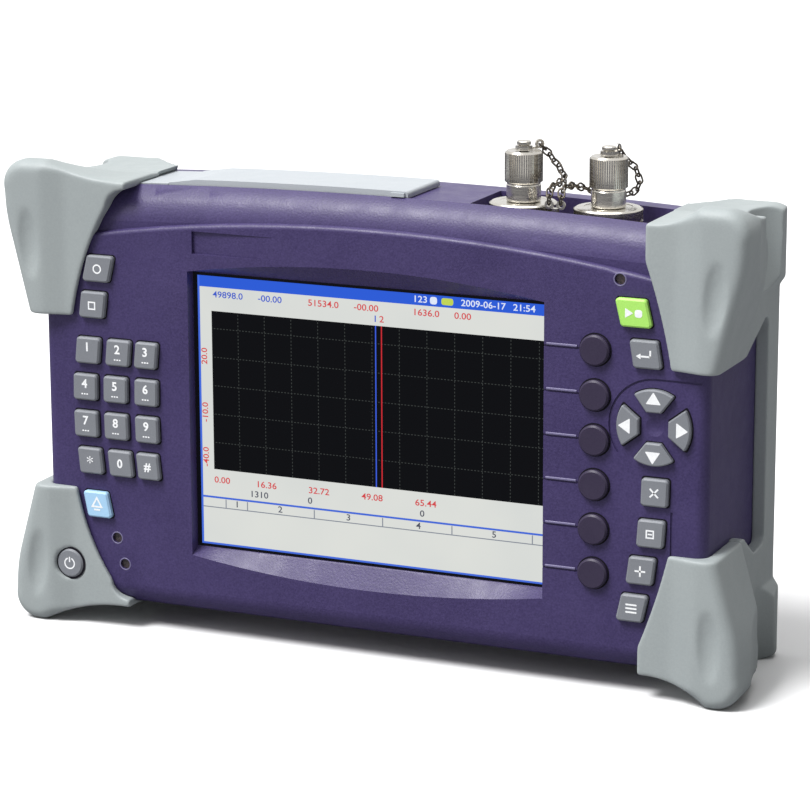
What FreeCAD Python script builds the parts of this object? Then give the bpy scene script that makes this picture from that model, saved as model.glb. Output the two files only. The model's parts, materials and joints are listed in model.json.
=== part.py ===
import FreeCAD
import Part
import math
import os

# Hand-held optical time domain reflectometer, in millimetres.
# X runs across the front, Y from the front to the back, Z up. The origin is on the table
# below the middle of the case: the feet stand at Z = 0.

Vector = FreeCAD.Vector
UP = Vector(0, 0, 1)
RIGHT = Vector(1, 0, 0)
BACK = Vector(0, 1, 0)

os.makedirs("parts", exist_ok=True)

# ---------------------------------------------------------------- case
case_depth = 61.5
foot_height = 8.9
screen_width = 130.6
screen_height = 98.0
side_panel_width = 59.7
panel_above = 31.5
panel_below = 25.0
front_y = -30.5
arch_radius = 2000.0
panel_arch_radius = 620.0
panel_relief = 2.0
panel_top_drop = 10.0
shoulder_run = 9.5
shoulder_drop = 12.0
front_corner = 4.0
rear_corner = 12.0
base_front_corner = 8.0
base_rear_corner = 10.0
crown_rear_corner = 16.0
wall = 2.5
panel_wall = 3.0
side_step = 0.5
parting_depth = 24.5
top_step_height = 17.0
lip_thickness = 1.1
lip_length = 2.0
lip_clearance = 0.1

half_width = screen_width / 2 + side_panel_width
middle_z = foot_height + panel_below + screen_height / 2
crown_z = middle_z + screen_height / 2 + panel_above
back_y = front_y + case_depth
shoulder_y = front_y + panel_relief
crown_y = front_y + shoulder_run
parting_y = front_y + parting_depth
crown_parting_y = crown_y + 0.2
step_z = crown_z - top_step_height
inner_front_y = front_y + panel_wall
inner_back_y = back_y - side_step - wall
rear_crown_z = crown_z - side_step
reach = 6 * half_width

# ---------------------------------------------------------------- screen
screen_margin_x = 1.7
screen_margin_z = 0.8
recess_depth = 4.5
recess_top_slope = 0.8
recess_top_rise = 6.4
recess_bottom_slope = 2.5
recess_bottom_rise = 7.7
window_thickness = 1.5
window_lap = 2.5
window_rim = 3.0
lcd_margin_x = 11.0
lcd_margin_z = 10.0
lcd_thickness = 7.5

recess_half_x = screen_width / 2 + screen_margin_x
recess_half_z = screen_height / 2 + screen_margin_z
window_y = front_y + recess_depth
lcd_y = window_y + window_thickness
lcd_back_y = lcd_y + lcd_thickness

# ---------------------------------------------------------------- keys
key_size = 9.5
key_corner = 1.2
key_edge = 0.6
key_proud = 2.0
key_clearance = 0.35
key_travel = 1.0
key_flange = 0.8
key_flange_thickness = 1.0
key_seat_gap = 0.15
keypad_edge = 17.4
keypad_pitch_x = 12.15
keypad_pitch_z = 13.5
keypad_top = 19.2
keypad_last_edge = 4.3
soft_key_radius = 5.25
soft_key_pitch = 15.4
soft_key_top = 36.0
soft_key_offset = 18.4
soft_line_width = 0.8
soft_line_depth = 0.4
nav_edge = 18.4
nav_height = 11.6
nav_outer_radius = 13.0
nav_inner = 5.2
nav_tip_half_width = 7.0
nav_flat_half_width = 2.6
nav_dimple_radius = 3.2
nav_dimple_depth = 0.6
groove_radius = 15.6
groove_width = 0.8
groove_depth = 0.5
groove_start = 217.0
power_key_edge = 9.4
power_key_height = -60.2
power_key_proud = 0.8
light_radius = 1.9
light_recess = 1.0
board_thickness = 1.6
board_gap = 0.3
board_margin = 3.1
post_radius = 1.5

flange_y = inner_front_y + key_seat_gap
board_y = flange_y + key_flange_thickness + key_travel + board_gap

# Keys beside the corner boots: distance in from the side wall, height above the middle, lean, width.
left_keys = {
    "auto_key": (23.15, 49.1, 0.24, 10.6),
    "home_key": (20.65, 35.9, 0.13, 10.0),
    "shift_key": (20.7, -37.3, -0.20, 9.8),
}
right_keys = {
    "start_key": (25.9, 49.8, -0.24, 11.0),
    "enter_key": (21.5, 36.2, -0.17, 10.0),
    "cancel_key": (17.7, -10.5, 0.03, 9.5),
    "file_key": (18.9, -24.8, 0.07, 9.5),
    "setup_key": (22.2, -38.0, 0.13, 9.5),
    "results_key": (25.2, -51.3, 0.22, 9.5),
}

# Rows of the keypad from the top: lean, shift of the first two columns, width of the last key.
keypad_rows = [(0.10, 0.9, 8.8), (0.02, -0.5, 9.2), (-0.02, -0.5, 9.2), (-0.10, 0.9, 8.8)]
keypad_names = ["1", "2", "3", "4", "5", "6", "7", "8", "9", "star", "0", "hash"]
nav_names = ["up", "right", "down", "left"]
left_lights = [(27.6, -49.4), (30.6, -58.9)]
right_lights = [(31.3, 60.4)]

# ---------------------------------------------------------------- boots
boot_thickness = 2.4
boot_bulge = 2.4
bulge_start = 11.0
bulge_run = 9.0
bulge_bend = 12.0
boot_round = 4.0
boot_tip = 3.0
boot_foot_thickness = 0.6
boot_side = 4.5
boot_end_height = 31.5
boot_foot_edge = 12.5
ear_side = 13.5
ear_rise = 6.0
ear_lean = 2.5
ear_lean_drop = 28.5
ear_widest_drop = 11.5
ear_corner = 9.0
ear_flats = {1: 8.0, -1: 3.0}
flare_share = 0.25
scoop_radius = 40.0
seam_side_loss = 2.5
seam_top_loss = 6.0
rear_ear_side = 10.0
rear_lip_side = 5.5
rear_taper = 8.0
rear_ear_drop = 8.0
rear_arm_edge = 11.0
rear_arm_bend = 22.5
bowl_radius = 16.0
bowl_back = 19.0
bowl_top_side = 13.5
bowl_foot_side = 23.0
bowl_length = 42.0
boot_back = 4.3
strip_inner_edge = 13.0
strip_side = 4.0
strip_depth = 9.5
side_opening_top = 43.0
side_opening_foot = -38.5
dimple_depth = 1.6
dimple_width = 8.2
dimple_length = 26.0
dimple_edge = 3.0
dimple_drops = {1: 29.5, -1: 22.0}
dimple_lean = 4.0

# Corner boots: how far in the thin end lies, how far in the inner edge turns towards it,
# how far from the end it turns, and the bow of the edge below the turn.
boot_edges = {
    "upper_left": (35.0, 27.0, 9.5, 1.8),
    "upper_right": (22.0, 23.5, 9.0, 1.0),
    "lower_left": (33.0, 26.0, 9.5, 1.8),
    "lower_right": (23.0, 25.0, 5.0, 0.8),
}

boot_face_y = front_y - boot_thickness
lobe_face_y = boot_face_y - boot_bulge
boot_back_y = back_y + boot_back
quarter_bend = math.sqrt(2) - 1
ear_x = half_width + ear_side
ear_heights = {1: crown_z + ear_rise - middle_z, -1: middle_z}

# ---------------------------------------------------------------- top: ports and connectors
bay_edge = 63.0
bay_length = 66.0
bay_y0 = -17.0
bay_y1 = 4.0
bay_depth = 7.0
pad_wall = 2.0
cover_ramp = 11.0
cover_slot_gap = 22.0
cover_y0 = -20.4
cover_y1 = 7.0
cover_thickness = 2.2
cover_round = 1.2
cover_gap = 0.3
strap_edge = 29.0
strap_length = 17.0
strap_thickness = 0.9
hinge_gap = 0.15
rim_gap = 0.3
rim_wall = 1.5
rim_depth = 2.6
tab_length = 5.0
tab_reach = 1.2
slot_edge = 26.0
slot_length = 64.0
slot_y0 = -19.8
slot_y1 = 9.0
slot_depth = 8.5
plate_thickness = 2.0
plate_gap = 0.15
plate_ledge = 3.0
ledge_thickness = 3.0
port_y = -7.5
port_pitch = 30.6
port_shift = 1.5
base_ring_radius = 11.7
base_ring_round = 0.5
thread_radius = 4.0
thread_height = 9.0
adapter_bore = 2.6
ferrule_bore = 1.25
ferrule_sleeve = 1.6
stub_radius = 6.0
stub_length = 6.0
cap_skirt_radius = 5.9
cap_skirt_height = 5.9
cap_head_radius = 6.5
cap_head_height = 11.3
cap_bore_gap = 0.05
cap_head_gap = 0.3
stem_radius = 1.5
stem_height = 1.9
button_radius = 2.4
button_height = 1.5
swivel_gap = 0.2
swivel_radius = 2.9
eye_reach = 6.0
eye_width = 0.9
left_swivel_turn = 50.0
right_swivel_turn = 80.0
eye_radius = 1.6
eye_bore = 0.8
link_pitch = 2.5
link_wire = 0.7
link_width = 2.9
link_slack = 0.15
anchor_radius = 1.3
anchor_y = -17.3
anchor_spread = 2.1
anchor_height = 9.6

slot_x1 = half_width - slot_edge
slot_x0 = slot_x1 - slot_length
bay_x0 = -half_width + bay_edge
bay_x1 = bay_x0 + bay_length
strap_end_x = -half_width + strap_edge
cover_hinge_x = strap_end_x + strap_length
cover_end_x = slot_x0 - cover_slot_gap
slot_floor_z = rear_crown_z - slot_depth
ring_top_z = rear_crown_z
cap_top_z = ring_top_z + cap_skirt_height + cap_head_height
swivel_z = cap_top_z + swivel_gap
swivel_thickness = stem_height - 2 * swivel_gap
port_middle_x = (slot_x0 + slot_x1) / 2 - port_shift
port_xs = [port_middle_x - port_pitch / 2, port_middle_x + port_pitch / 2]
anchor_x = port_middle_x
anchor_z = slot_floor_z + anchor_height

# ---------------------------------------------------------------- inside and back
main_board_gap = 4.0
main_board_edge = 20.0
main_board_low = 11.5
main_board_high = 16.5
post_edge = 5.0
post_low = 19.5
post_high = 29.0
case_post_radius = 4.0
screw_radius = 1.5
screw_head_radius = 2.9
screw_head_height = 2.2
screw_head_depth = 0.3
screw_length = 22.0
screw_gap = 0.15
engine_before_slot = 20.0
engine_inside_slot = 11.0
engine_depth = 19.0
engine_height = 40.0
engine_rib = 4.0
engine_ribs = 9
socket_floor = 0.6
socket_length = 20.0
socket_gap = 0.2
bay_half_x = 74.0
bay_foot = 11.5
bay_height = 40.0
bay_inset = 24.0
door_thickness = 2.2
door_gap = 0.3
door_ledge = 2.0
door_screw_x = 69.5
door_boss_radius = 3.0
door_ribs = 9
door_rib_pitch = 5.0
cell_radius = 9.3
pack_gap = 0.15
pack_half_x = 66.0
stand_half_x = 56.0
stand_thickness = 4.4
stand_barrel = 2.4
stand_pin_radius = 2.0
stand_pin_length = 2.8
stand_pin_gap = 0.05
stand_gap = 0.4
stand_top = 22.0
stand_floor_gap = 0.6
stand_notch_half_x = 16.0
stand_notch = 9.0

main_board_x = half_width - main_board_edge
post_x = main_board_x - post_edge
engine_x0 = slot_x0 - engine_before_slot
engine_x1 = slot_x1 - engine_inside_slot
rear_face_y = back_y - side_step
main_board_y = lcd_back_y + main_board_gap
main_board_back_y = main_board_y + board_thickness
stand_z = crown_z - stand_top
door_top_z = foot_height + bay_foot + bay_height + door_ledge
stand_length = stand_z - stand_notch - door_top_z
stand_y = rear_face_y - stand_barrel - 0.1
stand_floor_y = stand_y - stand_barrel - stand_floor_gap


def plane_point(plane, u, v, w):
    """Point from two in-plane coordinates and one along the plane's normal."""
    if plane == "XZ":
        return Vector(u, w, v)
    if plane == "YZ":
        return Vector(w, u, v)
    return Vector(u, v, w)


def rounded_wire(plane, w, corners):
    """Closed outline through corners given as (u, v, radius), each rounded by its radius."""
    starts = []
    ends = []
    arcs = []
    count = len(corners)
    for index, (u, v, radius) in enumerate(corners):
        corner = plane_point(plane, u, v, w)
        before = plane_point(plane, *corners[index - 1][:2], w) - corner
        after = plane_point(plane, *corners[(index + 1) % count][:2], w) - corner
        before.normalize()
        after.normalize()
        half = before.getAngle(after) / 2
        if radius > 0:
            bisector = (before + after).normalize()
            tangent = radius / math.tan(half)
            centre = corner + bisector * (radius / math.sin(half))
            starts.append(corner + before * tangent)
            ends.append(corner + after * tangent)
            arcs.append(centre - bisector * radius)
        else:
            starts.append(corner)
            ends.append(corner)
            arcs.append(None)
    edges = []
    for index in range(count):
        if arcs[index] is not None:
            edges.append(Part.Arc(starts[index], arcs[index], ends[index]).toShape())
        following = (index + 1) % count
        if ends[index].distanceToPoint(starts[following]) > 1e-6:
            edges.append(Part.makeLine(ends[index], starts[following]))
    return Part.Wire(edges)


def prism(plane, w0, w1, corners):
    """Solid between two parallel planes with a rounded outline."""
    direction = plane_point(plane, 0, 0, w1 - w0)
    return Part.Face(rounded_wire(plane, w0, corners)).extrude(direction)


def box(x0, x1, y0, y1, z0, z1):
    return Part.makeBox(x1 - x0, y1 - y0, z1 - z0, Vector(x0, y0, z0))


def rod(radius, start, direction, length):
    return Part.makeCylinder(radius, length, start, direction)


def fused(shapes):
    result = shapes[0]
    if len(shapes) > 1:
        result = result.multiFuse(shapes[1:])
    return result.removeSplitter()


def front_edges(solid, y):
    """Edges that lie wholly in the plane at the given y."""
    return [e for e in solid.Edges if all(abs(v.Y - y) < 1e-6 for v in e.Vertexes)
            and abs(e.CenterOfMass.y - y) < 1e-6]


def mirrored(shape):
    return shape.mirror(Vector(0, 0, 0), RIGHT)


def write(name, shape):
    """Save one node; every piece in it must be a closed solid."""
    solids = shape.Solids
    assert solids, name
    assert all(solid.isValid() for solid in solids), name
    body = solids[0] if len(solids) == 1 else Part.makeCompound(solids)
    body.exportStep("parts/" + name + ".step")
    print(name, len(solids), round(sum(solid.Volume for solid in solids), 1))


# ---------------------------------------------------------------- case shells
def arch_sweep(face):
    """Sweep a face of the YZ plane along the shallow arch of the case's top."""
    centre = Vector(0, 0, crown_z - arch_radius)
    angle = math.degrees(math.asin(1.2 * half_width / (arch_radius - crown_z)))
    start = face.copy()
    start.rotate(centre, BACK, -angle)
    return start.revolve(centre, BACK, 2 * angle)


def arch_slab(x0, x1, y0, y1, base, thickness):
    """Sheet that follows the arched top, from base (below the crown of the case) upwards."""
    low = crown_z - base
    corners = [(y0, low, 0), (y1, low, 0), (y1, low + thickness, 0), (y0, low + thickness, 0)]
    sheet = arch_sweep(Part.Face(rounded_wire("YZ", 0, corners)))
    return sheet.common(box(x0, x1, y0 - 1, y1 + 1, 0, crown_z + 2 * thickness))


def crown_block(inset):
    """Convex front shoulder, arched top and rounded rear edge, swept along the arch."""
    top = crown_z - inset
    rear = back_y - inset
    front = shoulder_y + inset
    start = Vector(0, crown_y + inset / 2, top)
    middle = Vector(0, crown_y - 0.6 * (shoulder_run - panel_relief) + 0.75 * inset,
                    crown_z - shoulder_drop / 3 - 0.66 * inset)
    end = Vector(0, front, crown_z - shoulder_drop)
    bend = crown_rear_corner - inset
    tuck = bend * (1 - math.sqrt(0.5))
    edges = [
        Part.Arc(start, middle, end).toShape(),
        Part.makeLine(end, Vector(0, front, 0)),
        Part.makeLine(Vector(0, front, 0), Vector(0, rear, 0)),
        Part.makeLine(Vector(0, rear, 0), Vector(0, rear, top - bend)),
        Part.Arc(Vector(0, rear, top - bend), Vector(0, rear - tuck, top - tuck),
                 Vector(0, rear - bend, top)).toShape(),
        Part.makeLine(Vector(0, rear - bend, top), start),
    ]
    return arch_sweep(Part.Face(Part.Wire(edges)))


def panel_block(inset, edge_round):
    """Raised front panel whose upper edge is one long arc below the shoulder."""
    apex = crown_z - panel_top_drop - inset
    side = half_width + 5
    sag = side * side / (2 * panel_arch_radius)
    y = front_y + inset
    left = Vector(-side, y, apex - sag)
    right = Vector(side, y, apex - sag)
    edges = [
        Part.Arc(left, Vector(0, y, apex), right).toShape(),
        Part.makeLine(right, Vector(side, y, 0)),
        Part.makeLine(Vector(side, y, 0), Vector(-side, y, 0)),
        Part.makeLine(Vector(-side, y, 0), left),
    ]
    block = Part.Face(Part.Wire(edges)).extrude(Vector(0, shoulder_run, 0))
    if edge_round:
        upper = [e for e in front_edges(block, y) if e.Curve.TypeId == "Part::GeomCircle"]
        block = block.makeFillet(edge_round, upper)
    return block


def case_block(inset, front_inset, edge_round=0):
    """The whole case as one solid, drawn in by an inset all round."""
    x = half_width - inset
    front = front_y + front_inset
    rear = back_y - inset
    base = foot_height + inset
    plan = prism("XY", 0, 2 * crown_z, [
        (-x, front, front_corner - front_inset), (x, front, front_corner - front_inset),
        (x, rear, rear_corner - inset), (-x, rear, rear_corner - inset)])
    side = prism("YZ", -reach, reach, [
        (front, base, base_front_corner - inset), (rear, base, base_rear_corner - inset),
        (rear, 2 * crown_z, 0), (front, 2 * crown_z, 0)])
    upper = crown_block(inset).fuse(panel_block(front_inset, edge_round))
    return upper.common(plan).common(side)


def parting_prism(shift):
    """Everything in front of the stepped joint between the two shells, moved back by shift."""
    return prism("YZ", -reach, reach, [
        (-reach, -reach, 0), (parting_y + shift, -reach, 0), (parting_y + shift, step_z - 8, 0),
        (crown_parting_y + shift, step_z, 0), (crown_parting_y + shift, reach, 0), (-reach, reach, 0)])


front_outer = case_block(0, 0, 0.85 * panel_relief).common(parting_prism(0))
rear_outer = case_block(side_step, side_step).cut(parting_prism(0))
case_outer = front_outer.fuse(rear_outer)
front_cavity = case_block(wall, panel_wall)
rear_cavity = case_block(side_step + wall, side_step + panel_wall)


def key_face_corners(x, z, width, height, lean, grow, corner):
    """Leaning rounded rectangle in the front plane."""
    w = width / 2 + grow
    h = height / 2 + grow
    s = lean * h
    return [(x - w - s, z - h, corner), (x + w - s, z - h, corner),
            (x + w + s, z + h, corner), (x - w + s, z + h, corner)]


class BlockKey:
    """A four-sided keycap with a flange behind the panel."""

    def __init__(self, x, z, lean, width):
        self.x = x
        self.z = z
        self.lean = lean
        self.width = width

    def solid(self):
        face_y = front_y - key_proud
        cap = prism("XZ", face_y, flange_y + key_flange_thickness, key_face_corners(
            self.x, self.z, self.width, key_size, self.lean, 0, key_corner))
        cap = cap.makeChamfer(key_edge, front_edges(cap, face_y))
        flange = prism("XZ", flange_y, flange_y + key_flange_thickness, key_face_corners(
            self.x, self.z, self.width, key_size, self.lean, key_flange, 0))
        return fused([cap, flange])

    def hole(self):
        return prism("XZ", front_y - 1, inner_front_y + 1, key_face_corners(
            self.x, self.z, self.width, key_size, self.lean, key_clearance, key_corner + key_clearance))


class RoundKey:
    """A round keycap with a flange behind the panel."""

    def __init__(self, x, z, radius, proud, base_y):
        self.x = x
        self.z = z
        self.radius = radius
        self.face_y = base_y - proud

    def solid(self):
        start = Vector(self.x, self.face_y, self.z)
        length = flange_y + key_flange_thickness - self.face_y
        cap = rod(self.radius, start, BACK, length)
        cap = cap.makeChamfer(key_edge, front_edges(cap, self.face_y))
        flange_start = Vector(self.x, flange_y, self.z)
        flange = rod(self.radius + key_flange, flange_start, BACK, key_flange_thickness)
        return fused([cap, flange])

    def hole(self):
        start = Vector(self.x, self.face_y - 1, self.z)
        return rod(self.radius + key_clearance, start, BACK, inner_front_y - self.face_y + 2)


class ArcKey:
    """One of the four cursor keys: a segment with an arc outside and a short flat inside."""

    def __init__(self, x, z, turn):
        self.centre = Vector(x, 0, z)
        self.turn = turn

    def block(self, grow, y0, y1, corner):
        radius = nav_outer_radius + grow
        tip = nav_tip_half_width + grow
        tip_height = math.sqrt(radius * radius - tip * tip)
        flat = nav_flat_half_width + 0.7 * grow
        inner = nav_inner - grow
        left = Vector(-tip, y0, tip_height)
        right = Vector(tip, y0, tip_height)
        low_right = Vector(flat, y0, inner)
        low_left = Vector(-flat, y0, inner)
        edges = [
            Part.Arc(left, Vector(0, y0, radius), right).toShape(),
            Part.makeLine(right, low_right),
            Part.makeLine(low_right, low_left),
            Part.makeLine(low_left, left),
        ]
        solid = Part.Face(Part.Wire(edges)).extrude(Vector(0, y1 - y0, 0))
        if corner:
            tips = [e for e in solid.Edges if e.Length > 0.99 * (y1 - y0)
                    and abs(e.tangentAt(e.FirstParameter).y) > 0.99]
            solid = solid.makeFillet(corner, tips)
        solid.rotate(Vector(0, 0, 0), BACK, self.turn)
        solid.translate(self.centre)
        return solid

    def solid(self):
        face_y = front_y - key_proud
        cap = self.block(0, face_y, flange_y + key_flange_thickness, key_edge)
        cap = cap.makeChamfer(0.75 * key_edge, front_edges(cap, face_y))
        flange = self.block(key_flange, flange_y, flange_y + key_flange_thickness, 0)
        return fused([cap, flange])

    def hole(self):
        return self.block(key_clearance, front_y - 1, inner_front_y + 1, key_edge)


def all_keys():
    keys = {}
    for index, name in enumerate(keypad_names):
        row, column = divmod(index, 3)
        lean, shift, last_width = keypad_rows[row]
        x = -half_width + keypad_edge + column * keypad_pitch_x
        z = middle_z + keypad_top - row * keypad_pitch_z
        if column < 2:
            keys["keypad_key_" + name] = BlockKey(x + shift, z, lean, key_size)
        else:
            x += keypad_last_edge - last_width / 2
            keys["keypad_key_" + name] = BlockKey(x, z, lean, last_width)
    for name, (edge, height, lean, width) in left_keys.items():
        keys[name] = BlockKey(-half_width + edge, middle_z + height, lean, width)
    for name, (edge, height, lean, width) in right_keys.items():
        keys[name] = BlockKey(half_width - edge, middle_z + height, lean, width)
    for index, name in enumerate(nav_names):
        keys["cursor_key_" + name] = ArcKey(half_width - nav_edge, middle_z + nav_height, 90 * index)
    for index in range(6):
        x = recess_half_x + soft_key_offset
        z = middle_z + soft_key_top - index * soft_key_pitch
        keys["soft_key_%d" % (index + 1)] = RoundKey(x, z, soft_key_radius, key_proud, front_y)
    keys["power_key"] = RoundKey(-half_width + power_key_edge, middle_z + power_key_height,
                                 soft_key_radius, power_key_proud, boot_face_y)
    return keys


keys = all_keys()


# ---------------------------------------------------------------- screen and boards
def window_corners(grow_x, grow_z, corner=0):
    x = recess_half_x + grow_x
    z = recess_half_z + grow_z
    return [(-x, middle_z - z, corner), (x, middle_z - z, corner),
            (x, middle_z + z, corner), (-x, middle_z + z, corner)]


def recess_tool():
    """Screen recess: upright walls left and right, ruled slopes that end in arcs above and below."""
    x = recess_half_x
    low = middle_z - recess_half_z
    high = middle_z + recess_half_z
    inner = rounded_wire("XZ", window_y, window_corners(0, 0))
    bottom = Part.Arc(Vector(-x, front_y, low - recess_bottom_slope),
                      Vector(0, front_y, low - recess_bottom_rise),
                      Vector(x, front_y, low - recess_bottom_slope)).toShape()
    top = Part.Arc(Vector(x, front_y, high + recess_top_slope),
                   Vector(0, front_y, high + recess_top_rise),
                   Vector(-x, front_y, high + recess_top_slope)).toShape()
    right = Part.makeLine(Vector(x, front_y, low - recess_bottom_slope),
                          Vector(x, front_y, high + recess_top_slope))
    left = Part.makeLine(Vector(-x, front_y, high + recess_top_slope),
                         Vector(-x, front_y, low - recess_bottom_slope))
    outer = Part.Wire([bottom, right, top, left])
    slopes = Part.makeLoft([outer, inner], True, True)
    mouth = Part.Face(outer).extrude(Vector(0, -1, 0))
    opening = prism("XZ", window_y, window_y + 1, window_corners(0, 0))
    return slopes.fuse([mouth, opening])


window_half_x = recess_half_x + window_lap
window_half_z = recess_half_z + window_lap
frame_lap = window_lap + window_rim
board_inner_x = window_half_x + window_rim + 6.0
board_outer_x = half_width - wall - 1.0
board_low_z = foot_height + 6.0
board_high_z = middle_z + max(height for edge, height in left_lights + right_lights) + board_margin
left_posts = [(37.5, 44.0), (37.5, -42.0), (7.5, 12.0), (7.5, -26.0)]
right_posts = [(31.0, 28.0), (31.0, -33.0), (7.5, 30.0), (7.5, -12.0)]
side_line_top = -17.0
side_line_foot = -33.0
name_recess_x = (-65.0, -32.0)
name_recess_z = (57.0, 65.0)
name_recess_depth = 1.1


def side_places(left, right):
    """Places given from the left or the right side wall, as (x, z)."""
    places = [(-half_width + edge, middle_z + height) for edge, height in left]
    return places + [(half_width - edge, middle_z + height) for edge, height in right]


light_places = side_places(left_lights, right_lights)


def plate_groove():
    """Groove that follows the cursor keys round and runs out level to the side."""
    centre = Vector(half_width - nav_edge, front_y - 1, middle_z + nav_height)
    start = math.radians(groove_start)
    turn = math.radians(groove_start / 2 + 45)
    out = half_width + 1 - centre.x
    inner = groove_radius
    outer = groove_radius + groove_width

    def spot(radius, angle):
        return centre + Vector(radius * math.cos(angle), 0, radius * math.sin(angle))

    edges = [
        Part.Arc(spot(outer, start), spot(outer, turn), centre + UP * outer).toShape(),
        Part.makeLine(centre + UP * outer, centre + UP * outer + RIGHT * out),
        Part.makeLine(centre + UP * outer + RIGHT * out, centre + UP * inner + RIGHT * out),
        Part.makeLine(centre + UP * inner + RIGHT * out, centre + UP * inner),
        Part.Arc(centre + UP * inner, spot(inner, turn), spot(inner, start)).toShape(),
        Part.makeLine(spot(inner, start), spot(outer, start)),
    ]
    return Part.Face(Part.Wire(edges)).extrude(BACK * (1 + groove_depth))


def front_grooves():
    """Line grooves in the front: one to each soft key, and the edge of the side plate."""
    tools = [plate_groove()]
    deep = front_y + soft_line_depth
    for index in range(6):
        z = middle_z + soft_key_top - index * soft_key_pitch
        end = recess_half_x + soft_key_offset - soft_key_radius
        tools.append(box(recess_half_x - 0.5, end, front_y - 1, deep,
                         z - soft_line_width / 2, z + soft_line_width / 2))
    line_x = half_width - boot_foot_edge
    tools.append(box(line_x, line_x + groove_width, front_y - 1, front_y + groove_depth,
                     middle_z + side_line_foot, middle_z + side_line_top))
    return tools


def name_recess():
    """Shallow bare panel that is deepest at its left end and fades out to the right."""
    x0, x1 = name_recess_x
    z0, z1 = name_recess_z
    return prism("XY", middle_z + z0, middle_z + z1, [
        (x0, front_y - 1, 0), (x1, front_y - 1, 0), (x1, front_y, 0), (x0, front_y + name_recess_depth, 0)])


def front_shell():
    shell = front_outer.cut(front_cavity)
    frame = prism("XZ", inner_front_y - 0.5, window_y, window_corners(frame_lap, frame_lap, window_rim))
    posts = [rod(post_radius, Vector(x, inner_front_y - 0.5, z), BACK, board_y - inner_front_y + 0.5)
             for x, z in side_places(left_posts, right_posts)]
    ring = case_block(wall - lip_thickness, panel_wall - lip_thickness).cut(front_cavity)
    reach_box = box(-reach, reach, parting_y - 0.5, parting_y + lip_length, -1, step_z - 12)
    shell = shell.multiFuse([frame, ring.common(reach_box)] + posts)
    tools = [recess_tool(), name_recess()] + front_grooves()
    tools += [key.hole() for key in keys.values()]
    tools += [rod(light_radius, Vector(x, front_y - 1, z), BACK, panel_wall + panel_relief + 2)
              for x, z in light_places]
    nav = Vector(half_width - nav_edge, front_y + nav_dimple_depth, middle_z + nav_height)
    ball = (nav_dimple_radius ** 2 + nav_dimple_depth ** 2) / (2 * nav_dimple_depth)
    tools.append(Part.makeSphere(ball, nav - BACK * ball))
    return shell.cut(tools)


def display_window():
    return prism("XZ", window_y, lcd_y, window_corners(window_lap, window_lap, window_lap))


def lcd_module():
    """Flat panel in its metal frame, with a thinner driver ledge along one side."""
    x = screen_width / 2 + lcd_margin_x
    z = screen_height / 2 + lcd_margin_z
    panel = box(-x, x, lcd_y, lcd_back_y, middle_z - z, middle_z + z)
    ledge = box(-x - 1, -x + lcd_margin_x / 2, lcd_y + lcd_thickness / 2, lcd_back_y + 1,
                middle_z - z - 1, middle_z + z + 1)
    return panel.cut(ledge)


def key_boards():
    """Two printed boards behind the key groups, seated on the posts of the front shell."""
    corners = [(board_inner_x, board_low_z, 2), (board_outer_x, board_low_z, 2),
               (board_outer_x, board_high_z, 2), (board_inner_x, board_high_z, 2)]
    right = prism("XZ", board_y, board_y + board_thickness, corners)
    return Part.makeCompound([mirrored(right), right])


def status_lights():
    lenses = []
    for x, z in light_places:
        start = Vector(x, front_y + light_recess, z)
        lenses.append(rod(light_radius - 0.05, start, BACK, board_y - front_y - light_recess))
    return Part.makeCompound(lenses)


# ---------------------------------------------------------------- boots and bumpers
def arc(plane, w, first, middle, last):
    points = [plane_point(plane, u, v, w) for u, v in (first, middle, last)]
    return Part.Arc(*points).toShape()


def line(plane, w, first, last):
    return Part.makeLine(plane_point(plane, *first, w), plane_point(plane, *last, w))


def between(first, last, shift_u, shift_v):
    """Middle of two in-plane points, moved aside."""
    return ((first[0] + last[0]) / 2 + shift_u, (first[1] + last[1]) / 2 + shift_v)


def level(side, height):
    return middle_z + side * height


def top_surface_height(side, x):
    """Height of the boot's thin end over the case, measured from the middle."""
    if side > 0:
        return crown_z - x * x / (2 * arch_radius) + boot_thickness - middle_z
    return middle_z - foot_height + boot_foot_thickness


def ear_edges(side, y, inner_x, wide, lean_x, tip):
    """Outer edges of a right-hand ear, from its thin end over the case round to the side wall."""
    thin_end = (inner_x, level(side, top_surface_height(side, inner_x)))
    flat_start = (wide - ear_corner - ear_flats[side], level(side, tip))
    flat_end = (wide - ear_corner, level(side, tip))
    widest = (wide, level(side, tip - ear_widest_drop))
    lean = (lean_x, level(side, tip - ear_lean_drop))
    bulge = 0.29 * ear_corner
    sag = flare_share * abs(flat_start[1] - thin_end[1])
    edges = [
        arc("XZ", y, thin_end, between(thin_end, flat_start, sag, -side * sag), flat_start),
        line("XZ", y, flat_start, flat_end),
        arc("XZ", y, flat_end, between(flat_end, widest, bulge, side * bulge), widest),
        arc("XZ", y, widest, between(widest, lean, (wide - lean_x) / 4, 0), lean),
    ]
    return edges, thin_end, lean


def rounded_front(face, edges, depth, radius):
    """Extrude a face and round the given edges of its starting side."""
    solid = face.extrude(Vector(0, depth, 0))
    centres = [edge.CenterOfMass for edge in edges]
    chosen = [e for e in solid.Edges if any(e.CenterOfMass.distanceToPoint(c) < 1e-4 for c in centres)]
    return solid.makeFillet(radius, chosen)


def scoops(side, with_waist):
    """Long hollows that thin the ears towards the joint between front boots and rear bumpers."""
    top = middle_z + side * (ear_heights[side] + scoop_radius - seam_top_loss)
    tools = [rod(scoop_radius, Vector(0, parting_y, top), RIGHT, reach)]
    if with_waist:
        waist_x = ear_x + scoop_radius - seam_side_loss
        tools.append(rod(scoop_radius, Vector(waist_x, parting_y, -1), UP, reach))
    return tools


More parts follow.
